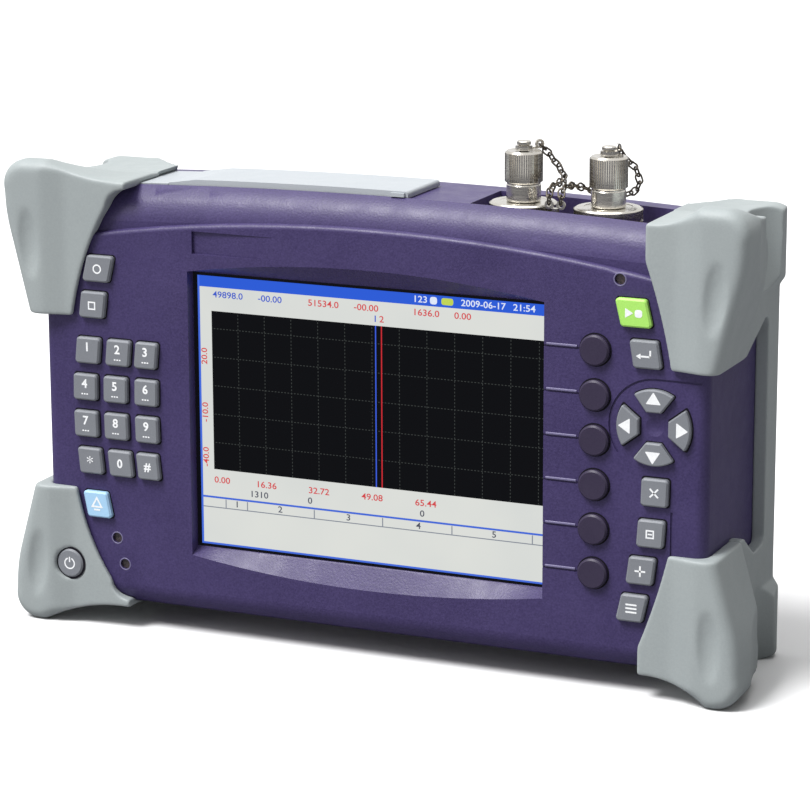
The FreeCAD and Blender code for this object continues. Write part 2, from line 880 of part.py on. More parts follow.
def dimple(side):
    """Shallow oval hollow in the front of a lobe."""
    across = (dimple_width ** 2 / 4 + dimple_depth ** 2) / (2 * dimple_depth)
    along = (dimple_length ** 2 / 4 + dimple_depth ** 2) / (2 * dimple_depth)
    centre = Vector(half_width + dimple_edge, lobe_face_y - along + dimple_depth,
                    level(side, ear_heights[side] - dimple_drops[side]))
    ring = Part.makeTorus(along - across, across, centre, RIGHT)
    ring.rotate(centre, BACK, side * dimple_lean)
    return ring.common(box(centre.x - dimple_width, centre.x + dimple_width,
                           lobe_face_y - 1, lobe_face_y + 2 * dimple_depth,
                           centre.z - dimple_length, centre.z + dimple_length))


def inner_cut(corner, thin_end):
    """Everything on the inner side of a boot's bowed inner edge."""
    side = 1 if corner.startswith("upper") else -1
    end_in, turn_in, drop, bow = boot_edges[corner]
    low = (half_width - boot_foot_edge, level(side, boot_end_height))
    turn = (half_width - turn_in, thin_end[1] - side * drop)
    tip = (thin_end[0], thin_end[1] - side * boot_tip)
    bend_x = quarter_bend / 2 * (turn[0] - tip[0])
    bend_z = quarter_bend / 2 * (tip[1] - turn[1])
    below = level(side, boot_end_height - boot_tip)
    beyond = thin_end[0] - boot_tip
    y = lobe_face_y - 1
    edges = [
        line("XZ", y, (low[0], below), low),
        arc("XZ", y, low, between(low, turn, bow, side * bow / 2), turn),
        arc("XZ", y, turn, between(turn, tip, bend_x, bend_z), tip),
        line("XZ", y, tip, (beyond, tip[1])),
        line("XZ", y, (beyond, tip[1]), (beyond, below)),
        line("XZ", y, (beyond, below), (low[0], below)),
    ]
    return Part.Face(Part.Wire(edges)).extrude(Vector(0, parting_y - y + 1, 0))


def front_boot(corner):
    """Soft corner boot on the front shell, ending in a plane at the joint of the shells."""
    side = 1 if corner.startswith("upper") else -1
    y = lobe_face_y
    outer, thin_end, lean = ear_edges(side, y, half_width - boot_edges[corner][0], ear_x, ear_x - ear_lean,
                                      ear_heights[side])
    low_out = (half_width + boot_side, level(side, boot_end_height))
    low_in = (thin_end[0], low_out[1])
    outer.append(line("XZ", y, lean, low_out))
    inner = [line("XZ", y, low_out, low_in), line("XZ", y, low_in, thin_end)]
    face = Part.Face(Part.Wire(outer + inner))
    boot = rounded_front(face, outer, parting_y - y, boot_round)
    start = half_width - bulge_start
    plan = prism("XY", -1, crown_z + 2 * ear_rise, [
        (start - half_width / 2, boot_face_y, 0), (start, boot_face_y, bulge_bend),
        (start + bulge_run, lobe_face_y, bulge_bend), (ear_x + 5, lobe_face_y, 0),
        (ear_x + 5, parting_y, 0), (start - half_width / 2, parting_y, 0)])
    boot = boot.common(plan).cut(scoops(side, True) + [dimple(side), inner_cut(corner, thin_end)])
    if corner.endswith("left"):
        boot = mirrored(boot)
    tools = [case_outer]
    if corner == "upper_left":
        tools.append(port_cover_strap())
    if corner == "lower_left":
        tools.append(keys["power_key"].hole())
    return boot.cut(tools)


def bumper_half(hand, side, drop, knee_height):
    """Half a rear bumper: one ear and its part of the strip along the back edge."""
    y = boot_back_y
    corner = ("upper_" if side > 0 else "lower_") + hand
    outer, thin_end, lean = ear_edges(side, y, half_width - boot_edges[corner][0], half_width + rear_ear_side,
                                      half_width + strip_side, ear_heights[side] - drop)
    knee = (half_width + strip_side, level(1, knee_height))
    strip_end = (half_width + strip_side, middle_z)
    back_end = (half_width - strip_inner_edge, middle_z)
    back_knee = (half_width - strip_inner_edge, level(1, knee_height))
    outer += [line("XZ", y, lean, knee), line("XZ", y, knee, strip_end)]
    inner = [line("XZ", y, strip_end, back_end), line("XZ", y, back_end, back_knee),
             line("XZ", y, back_knee, thin_end)]
    face = Part.Face(Part.Wire(Part.sortEdges(outer + inner)[0]))
    return rounded_front(face, outer, parting_y - y, boot_round)


def bowl(side):
    """Leaning hollow in the outer side of a rear ear, deepest at the ear's tip."""
    foot = Vector(half_width + bowl_foot_side, parting_y + bowl_back,
                  level(side, ear_heights[side] - bowl_length))
    tip = Vector(half_width + bowl_top_side, parting_y + bowl_back, level(side, ear_heights[side]))
    along = tip - foot
    return rod(bowl_radius, foot, along, along.Length * 1.5)


def arm_cut(hand):
    """What a rear bumper's upper arm loses behind its bend, where it runs off towards the corner."""
    inner_x = half_width - boot_edges["upper_" + hand][0]
    y0 = rear_face_y - rear_arm_bend
    return prism("XY", middle_z, crown_z + 2 * ear_rise, [
        (inner_x - 5, y0, 0), (inner_x, y0, 3), (half_width - rear_arm_edge, boot_back_y + 1, 0),
        (inner_x - 5, boot_back_y + 1, 0)])


def rear_bumper(hand):
    """Bumper of the rear shell on one hand, open at the side between its two ears."""
    strip_y = rear_face_y - strip_depth
    start_y = parting_y - 2
    opening = prism("YZ", half_width / 2, half_width * 2, [
        (start_y, level(1, boot_end_height), 0), (parting_y + 3, level(1, boot_end_height), 4),
        (strip_y, level(1, side_opening_top), 3), (strip_y, level(1, side_opening_foot), 3),
        (parting_y + 16, level(1, side_opening_foot - 1.5), 4),
        (parting_y + 4, level(-1, boot_end_height), 4), (start_y, level(-1, boot_end_height), 0)])
    halves = [bumper_half(hand, 1, rear_ear_drop, side_opening_top), bumper_half(hand, -1, 0, side_opening_foot)]
    plan = prism("XY", -1, crown_z + 2 * ear_rise, [
        (0, parting_y, 0), (half_width + rear_ear_side, parting_y, 0),
        (half_width + rear_ear_side, parting_y + rear_taper, rear_taper),
        (half_width + rear_lip_side, boot_back_y, boot_round), (0, boot_back_y, 0)])
    bumper = fused(halves).common(plan)
    bumper = bumper.cut(scoops(-1, False) + [opening, bowl(1), bowl(-1), arm_cut(hand)])
    if hand == "left":
        return mirrored(bumper).cut([case_outer, port_cover_strap()])
    return bumper.cut(case_outer)


def rear_bumpers():
    return Part.makeCompound([rear_bumper("left"), rear_bumper("right")])


# ---------------------------------------------------------------- ports on top
def arch_drop(x):
    return x * x / (2 * arch_radius)


def port_cover_strap():
    return arch_slab(strap_end_x, cover_hinge_x - hinge_gap, cover_y0, cover_y1, side_step, strap_thickness)


def port_cover():
    """Soft flap over the ports: a thin ramp at its hinge, a rim that plugs the bay and a lift tab."""
    base = side_step - cover_gap
    flap = arch_slab(cover_hinge_x + hinge_gap, cover_end_x, cover_y0, cover_y1, base, cover_thickness)
    ramp_x = cover_hinge_x + cover_ramp
    low = crown_z - base - arch_drop(cover_hinge_x) + strap_thickness
    high = crown_z - base - arch_drop(ramp_x) + cover_thickness
    ramp = prism("XZ", cover_y0 - 1, cover_y1 + 1, [
        (cover_hinge_x, low, 0), (ramp_x, high, 0), (ramp_x, high + 5, 0), (cover_hinge_x, high + 5, 0)])
    flap = flap.cut(ramp)
    end = [e for e in flap.Edges if abs(e.BoundBox.XMin - cover_end_x) < 1e-3
           and abs(e.BoundBox.XMax - cover_end_x) < 1e-3 and e.BoundBox.YLength > 10
           and e.CenterOfMass.z > rear_crown_z + cover_thickness / 2]
    flap = flap.makeFillet(cover_round, end)
    rim_low = rear_crown_z - arch_drop(bay_x0) - rim_depth
    rim_top = crown_z - base + cover_thickness / 4
    outer = box(bay_x0 + rim_gap, bay_x1 - rim_gap, bay_y0 + rim_gap, bay_y1 - rim_gap, rim_low, rim_top)
    side = rim_gap + rim_wall
    inner = box(bay_x0 + side, bay_x1 - side, bay_y0 + side, bay_y1 - side, rim_low - 1, rim_top + 1)
    rim = outer.cut(inner)
    tab = box(cover_end_x - tab_length - 1, cover_end_x - 1, cover_y0 - tab_reach, cover_y0 + 1,
              crown_z + 0.2, rear_crown_z + cover_thickness - 0.2)
    return fused([flap, rim, tab])


def socket_block(x, width, depth, hole, tongue):
    """Upright socket on the back of the main board: outer block, plug hole, contact tongue."""
    top = rear_crown_z - bay_depth + socket_floor
    y = main_board_back_y
    block = box(x - width / 2, x + width / 2, y, y + depth, top - socket_length, top)
    hx, hy, hz = hole
    block = block.cut(box(x - hx / 2, x + hx / 2, y + (depth - hy) / 2, y + (depth + hy) / 2, top - hz, top + 1))
    tx, ty, tz, offset = tongue
    middle = y + depth / 2 + offset
    return block.fuse(box(x - tx / 2, x + tx / 2, middle - ty / 2, middle + ty / 2, top - hz - 0.1, top - hz + tz))


# Sockets under the flap: place, width, depth, plug hole and contact tongue.
sockets = {
    "usb": (bay_x0 + 14.0, 14.5, 7.0, (12.5, 4.9, 11.0), (11.0, 1.6, 9.0, 1.0)),
    "network": (bay_x0 + 35.0, 16.0, 13.0, (11.8, 7.6, 13.0), (8.0, 1.2, 7.0, 2.6)),
    "power": (bay_x0 + 54.0, 9.0, 11.0, (6.4, 6.4, 10.0), (2.0, 2.0, 8.0, 0.0)),
}


def port_sockets():
    return Part.makeCompound([socket_block(*values) for values in sockets.values()])


def connector_plate():
    """Metal floor of the connector slot with the pillar and the eyes that hold both chains."""
    plate = box(slot_x0 + plate_gap, slot_x1 - plate_gap, slot_y0 + plate_gap, slot_y1 - plate_gap,
                slot_floor_z - plate_thickness, slot_floor_z)
    holes = [rod(stub_radius + 0.1, Vector(x, port_y, slot_floor_z - 3 * plate_thickness), UP, 5 * plate_thickness)
             for x in port_xs]
    pillar = rod(anchor_radius, Vector(anchor_x, anchor_y, slot_floor_z - 0.1), UP, anchor_height - 1)
    eyes = [eyelet(Vector(anchor_x + side * anchor_spread, anchor_y, anchor_z), BACK) for side in (-1, 1)]
    return fused([plate.cut(holes), pillar] + eyes)


def eyelet(centre, axis):
    start = centre - axis * (link_wire / 2)
    return rod(eye_radius, start, axis, link_wire).cut(rod(eye_bore, start, axis, link_wire))


def fiber_adapter(x):
    """Knurled base ring, threaded barrel with its ferrule sleeve, and the stub below the plate."""
    ring = rod(base_ring_radius, Vector(x, port_y, slot_floor_z), UP, ring_top_z - slot_floor_z)
    ring = ring.makeChamfer(base_ring_round, [e for e in ring.Edges if abs(e.CenterOfMass.z - ring_top_z) < 1e-6
                                              and e.BoundBox.ZLength < 1e-6])
    barrel = rod(thread_radius, Vector(x, port_y, ring_top_z - 0.1), UP, thread_height + 0.1)
    stub = rod(stub_radius, Vector(x, port_y, slot_floor_z - stub_length), UP, stub_length + 0.1)
    top = ring_top_z + thread_height
    bore = rod(adapter_bore, Vector(x, port_y, top - thread_height + 1), UP, thread_height)
    sleeve = rod(ferrule_sleeve, Vector(x, port_y, top - thread_height), UP, thread_height - 1)
    ferrule = rod(ferrule_bore, Vector(x, port_y, top - thread_height + 1), UP, thread_height)
    return fused([ring, barrel, stub]).cut(bore).fuse(sleeve.cut(ferrule)).removeSplitter()


def fiber_adapters():
    return Part.makeCompound([fiber_adapter(x) for x in port_xs])


def dust_cap(x):
    """Screw cap: smooth skirt, grip, stem and button in one turned piece, bored for the thread."""
    bore = thread_radius + cap_bore_gap
    depth = thread_height + cap_head_gap
    stem_top = cap_top_z + stem_height
    button_top = stem_top + button_height
    corners = [(bore, ring_top_z, 0), (cap_skirt_radius, ring_top_z, 0),
               (cap_skirt_radius, ring_top_z + cap_skirt_height, 0),
               (cap_head_radius, ring_top_z + cap_skirt_height + 0.6, 0), (cap_head_radius, cap_top_z, 0),
               (stem_radius, cap_top_z, 0), (stem_radius, stem_top, 0), (button_radius, stem_top, 0),
               (button_radius, button_top - 0.4, 0), (button_radius - 0.6, button_top, 0),
               (0, button_top, 0), (0, ring_top_z + depth, 0), (bore, ring_top_z + depth, 0)]
    cap = Part.Face(rounded_wire("XZ", 0, corners)).revolve(Vector(0, 0, 0), UP, 360)
    cap.translate(Vector(x, port_y, 0))
    return cap


def eye_direction(turn):
    return Vector(math.cos(math.radians(turn)), math.sin(math.radians(turn)), 0)


def swivel_eye(x, turn):
    """Middle of the upright eye beside a cap."""
    return Vector(x, port_y, swivel_z + eye_radius) + eye_direction(turn) * eye_reach


def cap_swivel(x, turn):
    """Loose ring round the cap's stem, with the upright eye that carries the chain."""
    centre = Vector(x, port_y, swivel_z)
    half = eye_width / 2
    arm = box(centre.x, centre.x + eye_reach - eye_bore, port_y - half, port_y + half, swivel_z,
              swivel_z + link_wire)
    ring = rod(swivel_radius, centre, UP, swivel_thickness)
    eye = rod(eye_radius, swivel_eye(x, 0) - BACK * half, BACK, eye_width)
    body = fused([ring, arm, eye])
    body = body.cut([rod(stem_radius + swivel_gap, centre - UP, UP, 4),
                     rod(eye_bore, swivel_eye(x, 0) - BACK * 2, BACK, 4)])
    body.rotate(centre, UP, turn)
    return body


def link(centre, along, across, pitch):
    """Flat eight-sided chain link."""
    normal = along.cross(across)
    half_length = pitch / 2 + link_slack + link_wire
    half_width_out = link_width / 2
    rings = []
    for inset in (0, link_wire):
        length = half_length - inset
        width = half_width_out - inset
        cut = 0.55 * width
        shape = [(length, width - cut), (length - cut, width), (cut - length, width), (-length, width - cut),
                 (-length, cut - width), (cut - length, -width), (length - cut, -width), (length, cut - width)]
        points = [centre + along * u + across * v - normal * (link_wire / 2) for u, v in shape]
        rings.append(Part.Face(Part.makePolygon(points + points[:1])))
    return rings[0].cut(rings[1]).extrude(normal * link_wire)


def turned(vector, axis, angle):
    """Vector turned about an axis by an angle in degrees."""
    return FreeCAD.Rotation(axis, angle).multVec(vector)


def chain(route, last_across):
    """Links along a smooth route, each a quarter turn from its neighbours.

    A small twist is shared by all links, so that the last one stands as the eye it hangs from asks.
    """
    curve = Part.BSplineCurve()
    curve.interpolate(route)
    length = curve.toShape().Length
    count = 2 * round(length / (2 * link_pitch))
    points = curve.toShape().discretize(count + 1)
    steps = [(points[k + 1] - points[k]).normalize() for k in range(count)]
    side = steps[0].cross(BACK).normalize()
    sides = []
    for along in steps:
        side = (side - along * side.dot(along)).normalize()
        sides.append(side)
    twist = math.degrees(sides[-1].getAngle(last_across))
    if sides[-1].cross(last_across).dot(steps[-1]) < 0:
        twist = -twist
    links = []
    for k, along in enumerate(steps):
        side = turned(sides[k], along, twist * k / (count - 1))
        across = side if k % 2 else along.cross(side)
        links.append(link((points[k] + points[k + 1]) * 0.5, along, across, length / count))
    return Part.makeCompound(links)


# ---------------------------------------------------------------- rear shell and what it holds
def back_corners(half_x, low, high, corner):
    return [(-half_x, low, corner), (half_x, low, corner), (half_x, high, corner), (-half_x, high, corner)]


def battery_opening(grow, corner):
    """Outline of the battery bay in the back, grown by a margin."""
    low = foot_height + bay_foot
    return back_corners(bay_half_x + grow, low - grow, low + bay_height + grow, corner)


def door_screw_places():
    z = foot_height + bay_foot + bay_height / 2
    return [(-door_screw_x, z), (door_screw_x, z)]


def case_screw_places():
    low = foot_height + post_low
    high = crown_z - post_high
    return [(x, z) for z in (low, high) for x in (-post_x, post_x)]


def stand_corners(grow, corner):
    """Outline of the folded stand below its barrel."""
    x = stand_half_x + grow
    return [(-x, stand_z - stand_length - grow, corner), (x, stand_z - stand_length - grow, corner),
            (x, stand_z, 0), (-x, stand_z, 0)]


def screw_hole(x, z, face_y, depth):
    start = Vector(x, face_y + 1, z)
    head = rod(screw_head_radius + screw_gap, start, -BACK, screw_head_height + screw_head_depth + 1)
    return head.fuse(rod(screw_radius + screw_gap / 3, start, -BACK, depth + 1))


def rear_pads():
    """Solid blocks added inside the rear shell around each pocket."""
    floor_z = rear_crown_z - bay_depth
    pads = [
        box(bay_x0 - pad_wall, bay_x1 + pad_wall, bay_y0 - pad_wall, bay_y1 + pad_wall,
            floor_z - pad_wall, crown_z),
        box(slot_x0 - pad_wall, slot_x1 + pad_wall, crown_parting_y, slot_y1 + pad_wall,
            slot_floor_z - plate_thickness - ledge_thickness, crown_z),
        box(-stand_half_x - 5, stand_half_x + 5, stand_floor_y - wall, back_y,
            stand_z - stand_length - 3, stand_z + stand_barrel + 3),
        prism("XZ", rear_face_y - bay_inset, back_y, battery_opening(wall, wall)),
    ]
    posts = [rod(case_post_radius, Vector(x, main_board_back_y, z), BACK, back_y - main_board_back_y)
             for x, z in case_screw_places()]
    return [pad.common(rear_outer) for pad in pads + posts]


def rear_pockets():
    """Everything cut into the rear shell."""
    floor_z = rear_crown_z - bay_depth
    tools = [
        box(bay_x0, bay_x1, bay_y0, bay_y1, floor_z, crown_z + 1),
        box(slot_x0, slot_x1, slot_y0, slot_y1, slot_floor_z - plate_thickness, crown_z + 1),
        box(slot_x0 + plate_ledge, slot_x1 - plate_ledge, slot_y0 + plate_ledge, slot_y1 - plate_ledge,
            slot_floor_z - 2 * plate_thickness - ledge_thickness, crown_z),
        prism("XZ", stand_floor_y, back_y + 1, stand_corners(stand_gap, stand_gap)),
        prism("XZ", rear_face_y - bay_inset + wall, back_y + 1, battery_opening(0, 1.5)),
        prism("XZ", rear_face_y - door_thickness - 0.1, back_y + 1,
              battery_opening(door_ledge + door_gap, 2.5)),
    ]
    for x, width, depth, hole, tongue in sockets.values():
        tools.append(box(x - width / 2 - socket_gap, x + width / 2 + socket_gap,
                         main_board_back_y - 1, main_board_back_y + depth + socket_gap,
                         floor_z - 2 * pad_wall, crown_z))
    barrel_radius = stand_barrel + stand_gap
    tools.append(rod(barrel_radius, Vector(-stand_half_x - stand_gap, stand_y, stand_z), RIGHT,
                     2 * (stand_half_x + stand_gap)))
    tools.append(box(-stand_half_x - stand_gap, stand_half_x + stand_gap, stand_y, back_y + 1,
                     stand_z - 1, stand_z + barrel_radius))
    pin_reach = stand_half_x + stand_pin_length + stand_gap
    tools.append(rod(stand_pin_radius + stand_pin_gap, Vector(-pin_reach, stand_y, stand_z), RIGHT,
                     2 * pin_reach))
    notch_low = stand_z - stand_length - stand_notch
    tools.append(prism("XZ", stand_floor_y, back_y + 1, back_corners(
        stand_notch_half_x, notch_low, notch_low + 2 * stand_notch, 3)))
    for x, z in case_screw_places():
        tools.append(screw_hole(x, z, rear_face_y, screw_length))
    for x, z in door_screw_places():
        tools.append(rod(screw_radius + screw_gap / 3, Vector(x, rear_face_y, z), -BACK, screw_length / 2))
    return tools


def rear_shell():
    shell = rear_outer.cut(rear_cavity).multiFuse(rear_pads())
    bosses = []
    for x, z in door_screw_places():
        side = 1 if x > 0 else -1
        boss = rod(door_boss_radius, Vector(x, rear_face_y - bay_inset + wall - 0.1, z), BACK,
                   bay_inset - wall - door_thickness)
        web = box(min(x, x + side * 6), max(x, x + side * 6), rear_face_y - bay_inset + wall - 0.1,
                  rear_face_y - door_thickness - 0.1, z - 1, z + 1)
        bosses.append(boss.fuse(web))
    pockets = rear_pockets()
    screws = pockets[-2:]
    shell = shell.cut(pockets[:-2]).multiFuse(bosses).cut(screws)
    rebate = case_block(wall - lip_thickness - lip_clearance, panel_wall - lip_thickness - lip_clearance)
    rebate = rebate.common(box(-reach, reach, parting_y - 1, parting_y + lip_length + lip_clearance,
                               -1, step_z - 11))
    return shell.cut(rebate)


def battery_door():
    """Flush cover of the battery bay, with a finger notch at its top and two screw holes."""
    y = rear_face_y - door_thickness
    door = prism("XZ", y, rear_face_y, battery_opening(door_ledge, 2.2))
    door = door.makeChamfer(0.4, front_edges(door, rear_face_y))
    tools = []
    for x, z in door_screw_places():
        tools.append(rod(screw_head_radius + screw_gap, Vector(x, rear_face_y - 1.2, z), BACK, 5))
        tools.append(rod(screw_radius + screw_gap, Vector(x, y - 1, z), BACK, 5))
    for index in range(door_ribs):
        x = (index - (door_ribs - 1) / 2) * door_rib_pitch
        z = foot_height + bay_foot + bay_height / 2
        tools.append(box(x - 0.8, x + 0.8, rear_face_y - 0.7, rear_face_y + 1, z - 9, z + 9))
    return door.cut(tools)


def screw(x, z, head_y, length):
    """Pan-head screw driven towards the front, with a hexagon socket in its head."""
    head = rod(screw_head_radius, Vector(x, head_y, z), -BACK, screw_head_height)
    shank = rod(screw_radius, Vector(x, head_y, z), -BACK, length)
    size = screw_radius * 0.9
    corners = [(x + size * math.cos(math.radians(60 * k)), z + size * math.sin(math.radians(60 * k)), 0)
               for k in range(6)]
    return fused([head, shank]).cut(prism("XZ", head_y - 1.2, head_y + 1, corners))


def case_screws():
    long_y = rear_face_y - screw_head_depth
    length = screw_length - screw_head_depth - screw_gap
    screws = [screw(x, z, long_y, length) for x, z in case_screw_places()]
    for x, z in door_screw_places():
        head = rod(screw_head_radius, Vector(x, rear_face_y - 0.2, z), -BACK, 1.0)
        shank = rod(screw_radius, Vector(x, rear_face_y - 0.2, z), -BACK, screw_length / 2 - 1)
        screws.append(fused([head, shank]))
    return Part.makeCompound(screws)


def battery_pack():
    """Four cells side by side in a shrink sleeve, as one rounded bar with valleys between the cells."""
    y = rear_face_y - bay_inset + wall + pack_gap + cell_radius
    z = foot_height + bay_foot + pack_gap + 2 * cell_radius
    cells = []
    for offset in (-cell_radius, cell_radius):
        cells.append(rod(cell_radius, Vector(-pack_half_x, y, z + offset), RIGHT, 2 * pack_half_x))
    waist = box(-pack_half_x, pack_half_x, y - 0.8 * cell_radius, y + 0.8 * cell_radius,
                z - cell_radius, z + cell_radius)
    return fused(cells + [waist])


def main_board():
    """Main printed board behind the screen, resting on the four posts of the rear shell."""
    corners = back_corners(main_board_x, foot_height + main_board_low, crown_z - main_board_high, 3)
    board = prism("XZ", main_board_y, main_board_back_y, corners)
    return board.cut([rod(screw_radius + screw_gap, Vector(x, main_board_y - 1, z), BACK, 5)
                      for x, z in case_screw_places()])


def optical_engine():
    """Laser and receiver block on the main board, with cooling ribs on its back."""
    top = slot_floor_z - plate_thickness - ledge_thickness - stub_length - 4
    y = main_board_back_y
    block = prism("XZ", y, y + engine_depth - engine_rib, [
        (engine_x0, top - engine_height, 2), (engine_x1, top - engine_height, 2),
        (engine_x1, top, 2), (engine_x0, top, 2)])
    ribs = []
    count = engine_ribs
    pitch = (engine_x1 - engine_x0 - 8) / (count - 1)
    for index in range(count):
        x = engine_x0 + 4 + index * pitch
        ribs.append(box(x - 1, x + 1, y + engine_depth - engine_rib - 0.1, y + engine_depth,
                        top - engine_height + 4, top - 4))
    return fused([block] + ribs)


def tilt_stand():
    """Flat support plate with a wide opening, turning on two pins at its top."""
    plate = prism("XZ", stand_y - stand_barrel + 0.2, stand_y - stand_barrel + 0.2 + stand_thickness,
                  stand_corners(0, 6))
    window = prism("XZ", stand_floor_y, back_y + 1, [
        (-stand_half_x + 14, stand_z - stand_length + 14, 6), (stand_half_x - 14, stand_z - stand_length + 14, 6),
        (stand_half_x - 14, stand_z - 16, 6), (-stand_half_x + 14, stand_z - 16, 6)])
    barrel = rod(stand_barrel, Vector(-stand_half_x, stand_y, stand_z), RIGHT, 2 * stand_half_x)
    reach_x = stand_half_x + stand_pin_length
    pins = rod(stand_pin_radius, Vector(-reach_x, stand_y, stand_z), RIGHT, 2 * reach_x)
    return fused([plate.cut(window), barrel, pins])


# ---------------------------------------------------------------- chains
def cap_chain(x, turn, side, middle):
    """Chain from an eye of the connector plate to the eye beside the cap at x."""
    hook = link_slack + link_wire / 2
    out = eye_direction(turn)
    fall = (out - UP).normalize()
    anchor = Vector(anchor_x + side * anchor_spread, anchor_y, anchor_z)
    eye = swivel_eye(x, turn)
    route = [anchor + UP * hook, anchor + UP * (hook + 1.5 * link_pitch)] + middle
    route += [eye + fall * (hook + 1.5 * link_pitch), eye + fall * hook]
    return chain(route, UP.cross(out))


def chain_left():
    return cap_chain(port_xs[0], left_swivel_turn, -1, [
        Vector(anchor_x - 1.0, port_y - 2.6, anchor_z + 6.6),
        Vector(anchor_x - 2.4, port_y + 4.6, anchor_z + 7.4)])


def chain_right():
    x = port_xs[1]
    return cap_chain(x, right_swivel_turn, 1, [
        Vector(anchor_x + 3.4, port_y - 1.6, ring_top_z + 6.6),
        Vector(x - 6.8, port_y + 6.6, ring_top_z + 3.6),
        Vector(x, port_y + 10.0, ring_top_z + 2.4),
        Vector(x + 6.6, port_y + 10.4, ring_top_z + 5.0),
        Vector(x + 6.0, port_y + 10.8, ring_top_z + 11.0)])


# ---------------------------------------------------------------- nodes
write("front_shell", front_shell())
write("rear_shell", rear_shell())
for corner in boot_edges:
    write("boot_" + corner, front_boot(corner))
write("rear_bumpers", rear_bumpers())
write("display_window", display_window())
write("lcd_module", lcd_module())
write("key_boards", key_boards())
write("status_lights", status_lights())
write("main_board", main_board())
write("optical_engine", optical_engine())
write("battery_pack", battery_pack())
write("battery_door", battery_door())
write("case_screws", case_screws())
write("tilt_stand", tilt_stand())
write("port_cover", port_cover())
write("port_cover_strap", port_cover_strap())
write("port_sockets", port_sockets())
write("connector_plate", connector_plate())
write("fiber_adapters", fiber_adapters())
write("dust_cap_left", dust_cap(port_xs[0]))
write("dust_cap_right", dust_cap(port_xs[1]))
write("cap_swivel_left", cap_swivel(port_xs[0], left_swivel_turn))
write("cap_swivel_right", cap_swivel(port_xs[1], right_swivel_turn))
write("chain_left", chain_left())
write("chain_right", chain_right())
for name, key in keys.items():
    write(name, key.solid())
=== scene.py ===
import json
import math
import bpy
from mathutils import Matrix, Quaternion, Vector


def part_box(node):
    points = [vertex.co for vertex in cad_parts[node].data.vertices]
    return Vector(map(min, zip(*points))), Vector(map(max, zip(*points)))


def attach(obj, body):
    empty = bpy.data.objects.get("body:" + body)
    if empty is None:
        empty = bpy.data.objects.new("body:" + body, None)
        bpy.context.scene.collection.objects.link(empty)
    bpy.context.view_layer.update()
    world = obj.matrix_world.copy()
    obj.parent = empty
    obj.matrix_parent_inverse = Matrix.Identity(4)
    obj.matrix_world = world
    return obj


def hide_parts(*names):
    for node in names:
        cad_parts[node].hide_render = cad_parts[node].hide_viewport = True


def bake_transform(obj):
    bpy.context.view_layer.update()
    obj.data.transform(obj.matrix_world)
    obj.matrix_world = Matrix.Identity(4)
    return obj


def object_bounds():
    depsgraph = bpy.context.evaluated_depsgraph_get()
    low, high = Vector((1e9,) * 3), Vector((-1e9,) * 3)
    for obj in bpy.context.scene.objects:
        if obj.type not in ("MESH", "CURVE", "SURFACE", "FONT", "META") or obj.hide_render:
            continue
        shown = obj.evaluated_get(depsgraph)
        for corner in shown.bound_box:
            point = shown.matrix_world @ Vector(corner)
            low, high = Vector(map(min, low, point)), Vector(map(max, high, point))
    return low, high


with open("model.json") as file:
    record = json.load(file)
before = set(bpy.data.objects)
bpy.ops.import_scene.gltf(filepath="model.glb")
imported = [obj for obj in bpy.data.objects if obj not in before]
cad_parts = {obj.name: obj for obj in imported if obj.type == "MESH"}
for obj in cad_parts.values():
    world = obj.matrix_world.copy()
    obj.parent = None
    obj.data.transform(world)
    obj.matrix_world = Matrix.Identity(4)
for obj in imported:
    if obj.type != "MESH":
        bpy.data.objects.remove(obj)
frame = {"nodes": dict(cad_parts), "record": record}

bpy.ops.object.select_all(action="DESELECT")
cadLow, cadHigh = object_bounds()

# Looks of a hand-held optical time domain reflectometer: metres, front face towards -Y.

cameraView = {
    "place": (0.45299, -1.00934, 0.35209),
    "target": (0.0172, -0.0328, 0.0946),
    "lens": 143.41,
    "roll": -0.0034,
    "near": 0.05,
}


def aimed(start, target):
    # the turn that points a camera or a lamp from start to target
    return (Vector(target) - Vector(start)).to_track_quat("-Z", "Y")


def addCamera(view):
    bpy.ops.object.camera_add(location=view["place"])
    camera = bpy.context.object
    camera.name = "camera"
    camera.data.lens = view["lens"]
    camera.data.clip_start = view["near"]
    camera.rotation_mode = "QUATERNION"
    roll = Quaternion((0, 0, 1), view["roll"])
    camera.rotation_quaternion = aimed(view["place"], view["target"]) @ roll
    bpy.context.scene.camera = camera


addCamera(cameraView)
print("camera set")


def shade(red, green, blue):
    # a colour as it is seen, 0 to 255, made linear
    parts = [value / 255 for value in (red, green, blue)]
    return tuple(p / 12.92 if p <= 0.04045 else ((p + 0.055) / 1.055) ** 2.4 for p in parts) + (1.0,)


class Wire:
    # one output of a finish, ready for + - * < >
    def __init__(self, finish, socket):
        self.finish = finish
        self.socket = socket

    def __add__(self, other):
        return self.finish.calc("ADD", self, other)

    def __radd__(self, other):
        return self.finish.calc("ADD", other, self)

    def __sub__(self, other):
        return self.finish.calc("SUBTRACT", self, other)

    def __rsub__(self, other):
        return self.finish.calc("SUBTRACT", other, self)

    def __mul__(self, other):
        return self.finish.calc("MULTIPLY", self, other)

    def __rmul__(self, other):
        return self.finish.calc("MULTIPLY", other, self)

    def __gt__(self, other):
        return self.finish.calc("GREATER_THAN", self, other)

    def __lt__(self, other):
        return self.finish.calc("LESS_THAN", self, other)


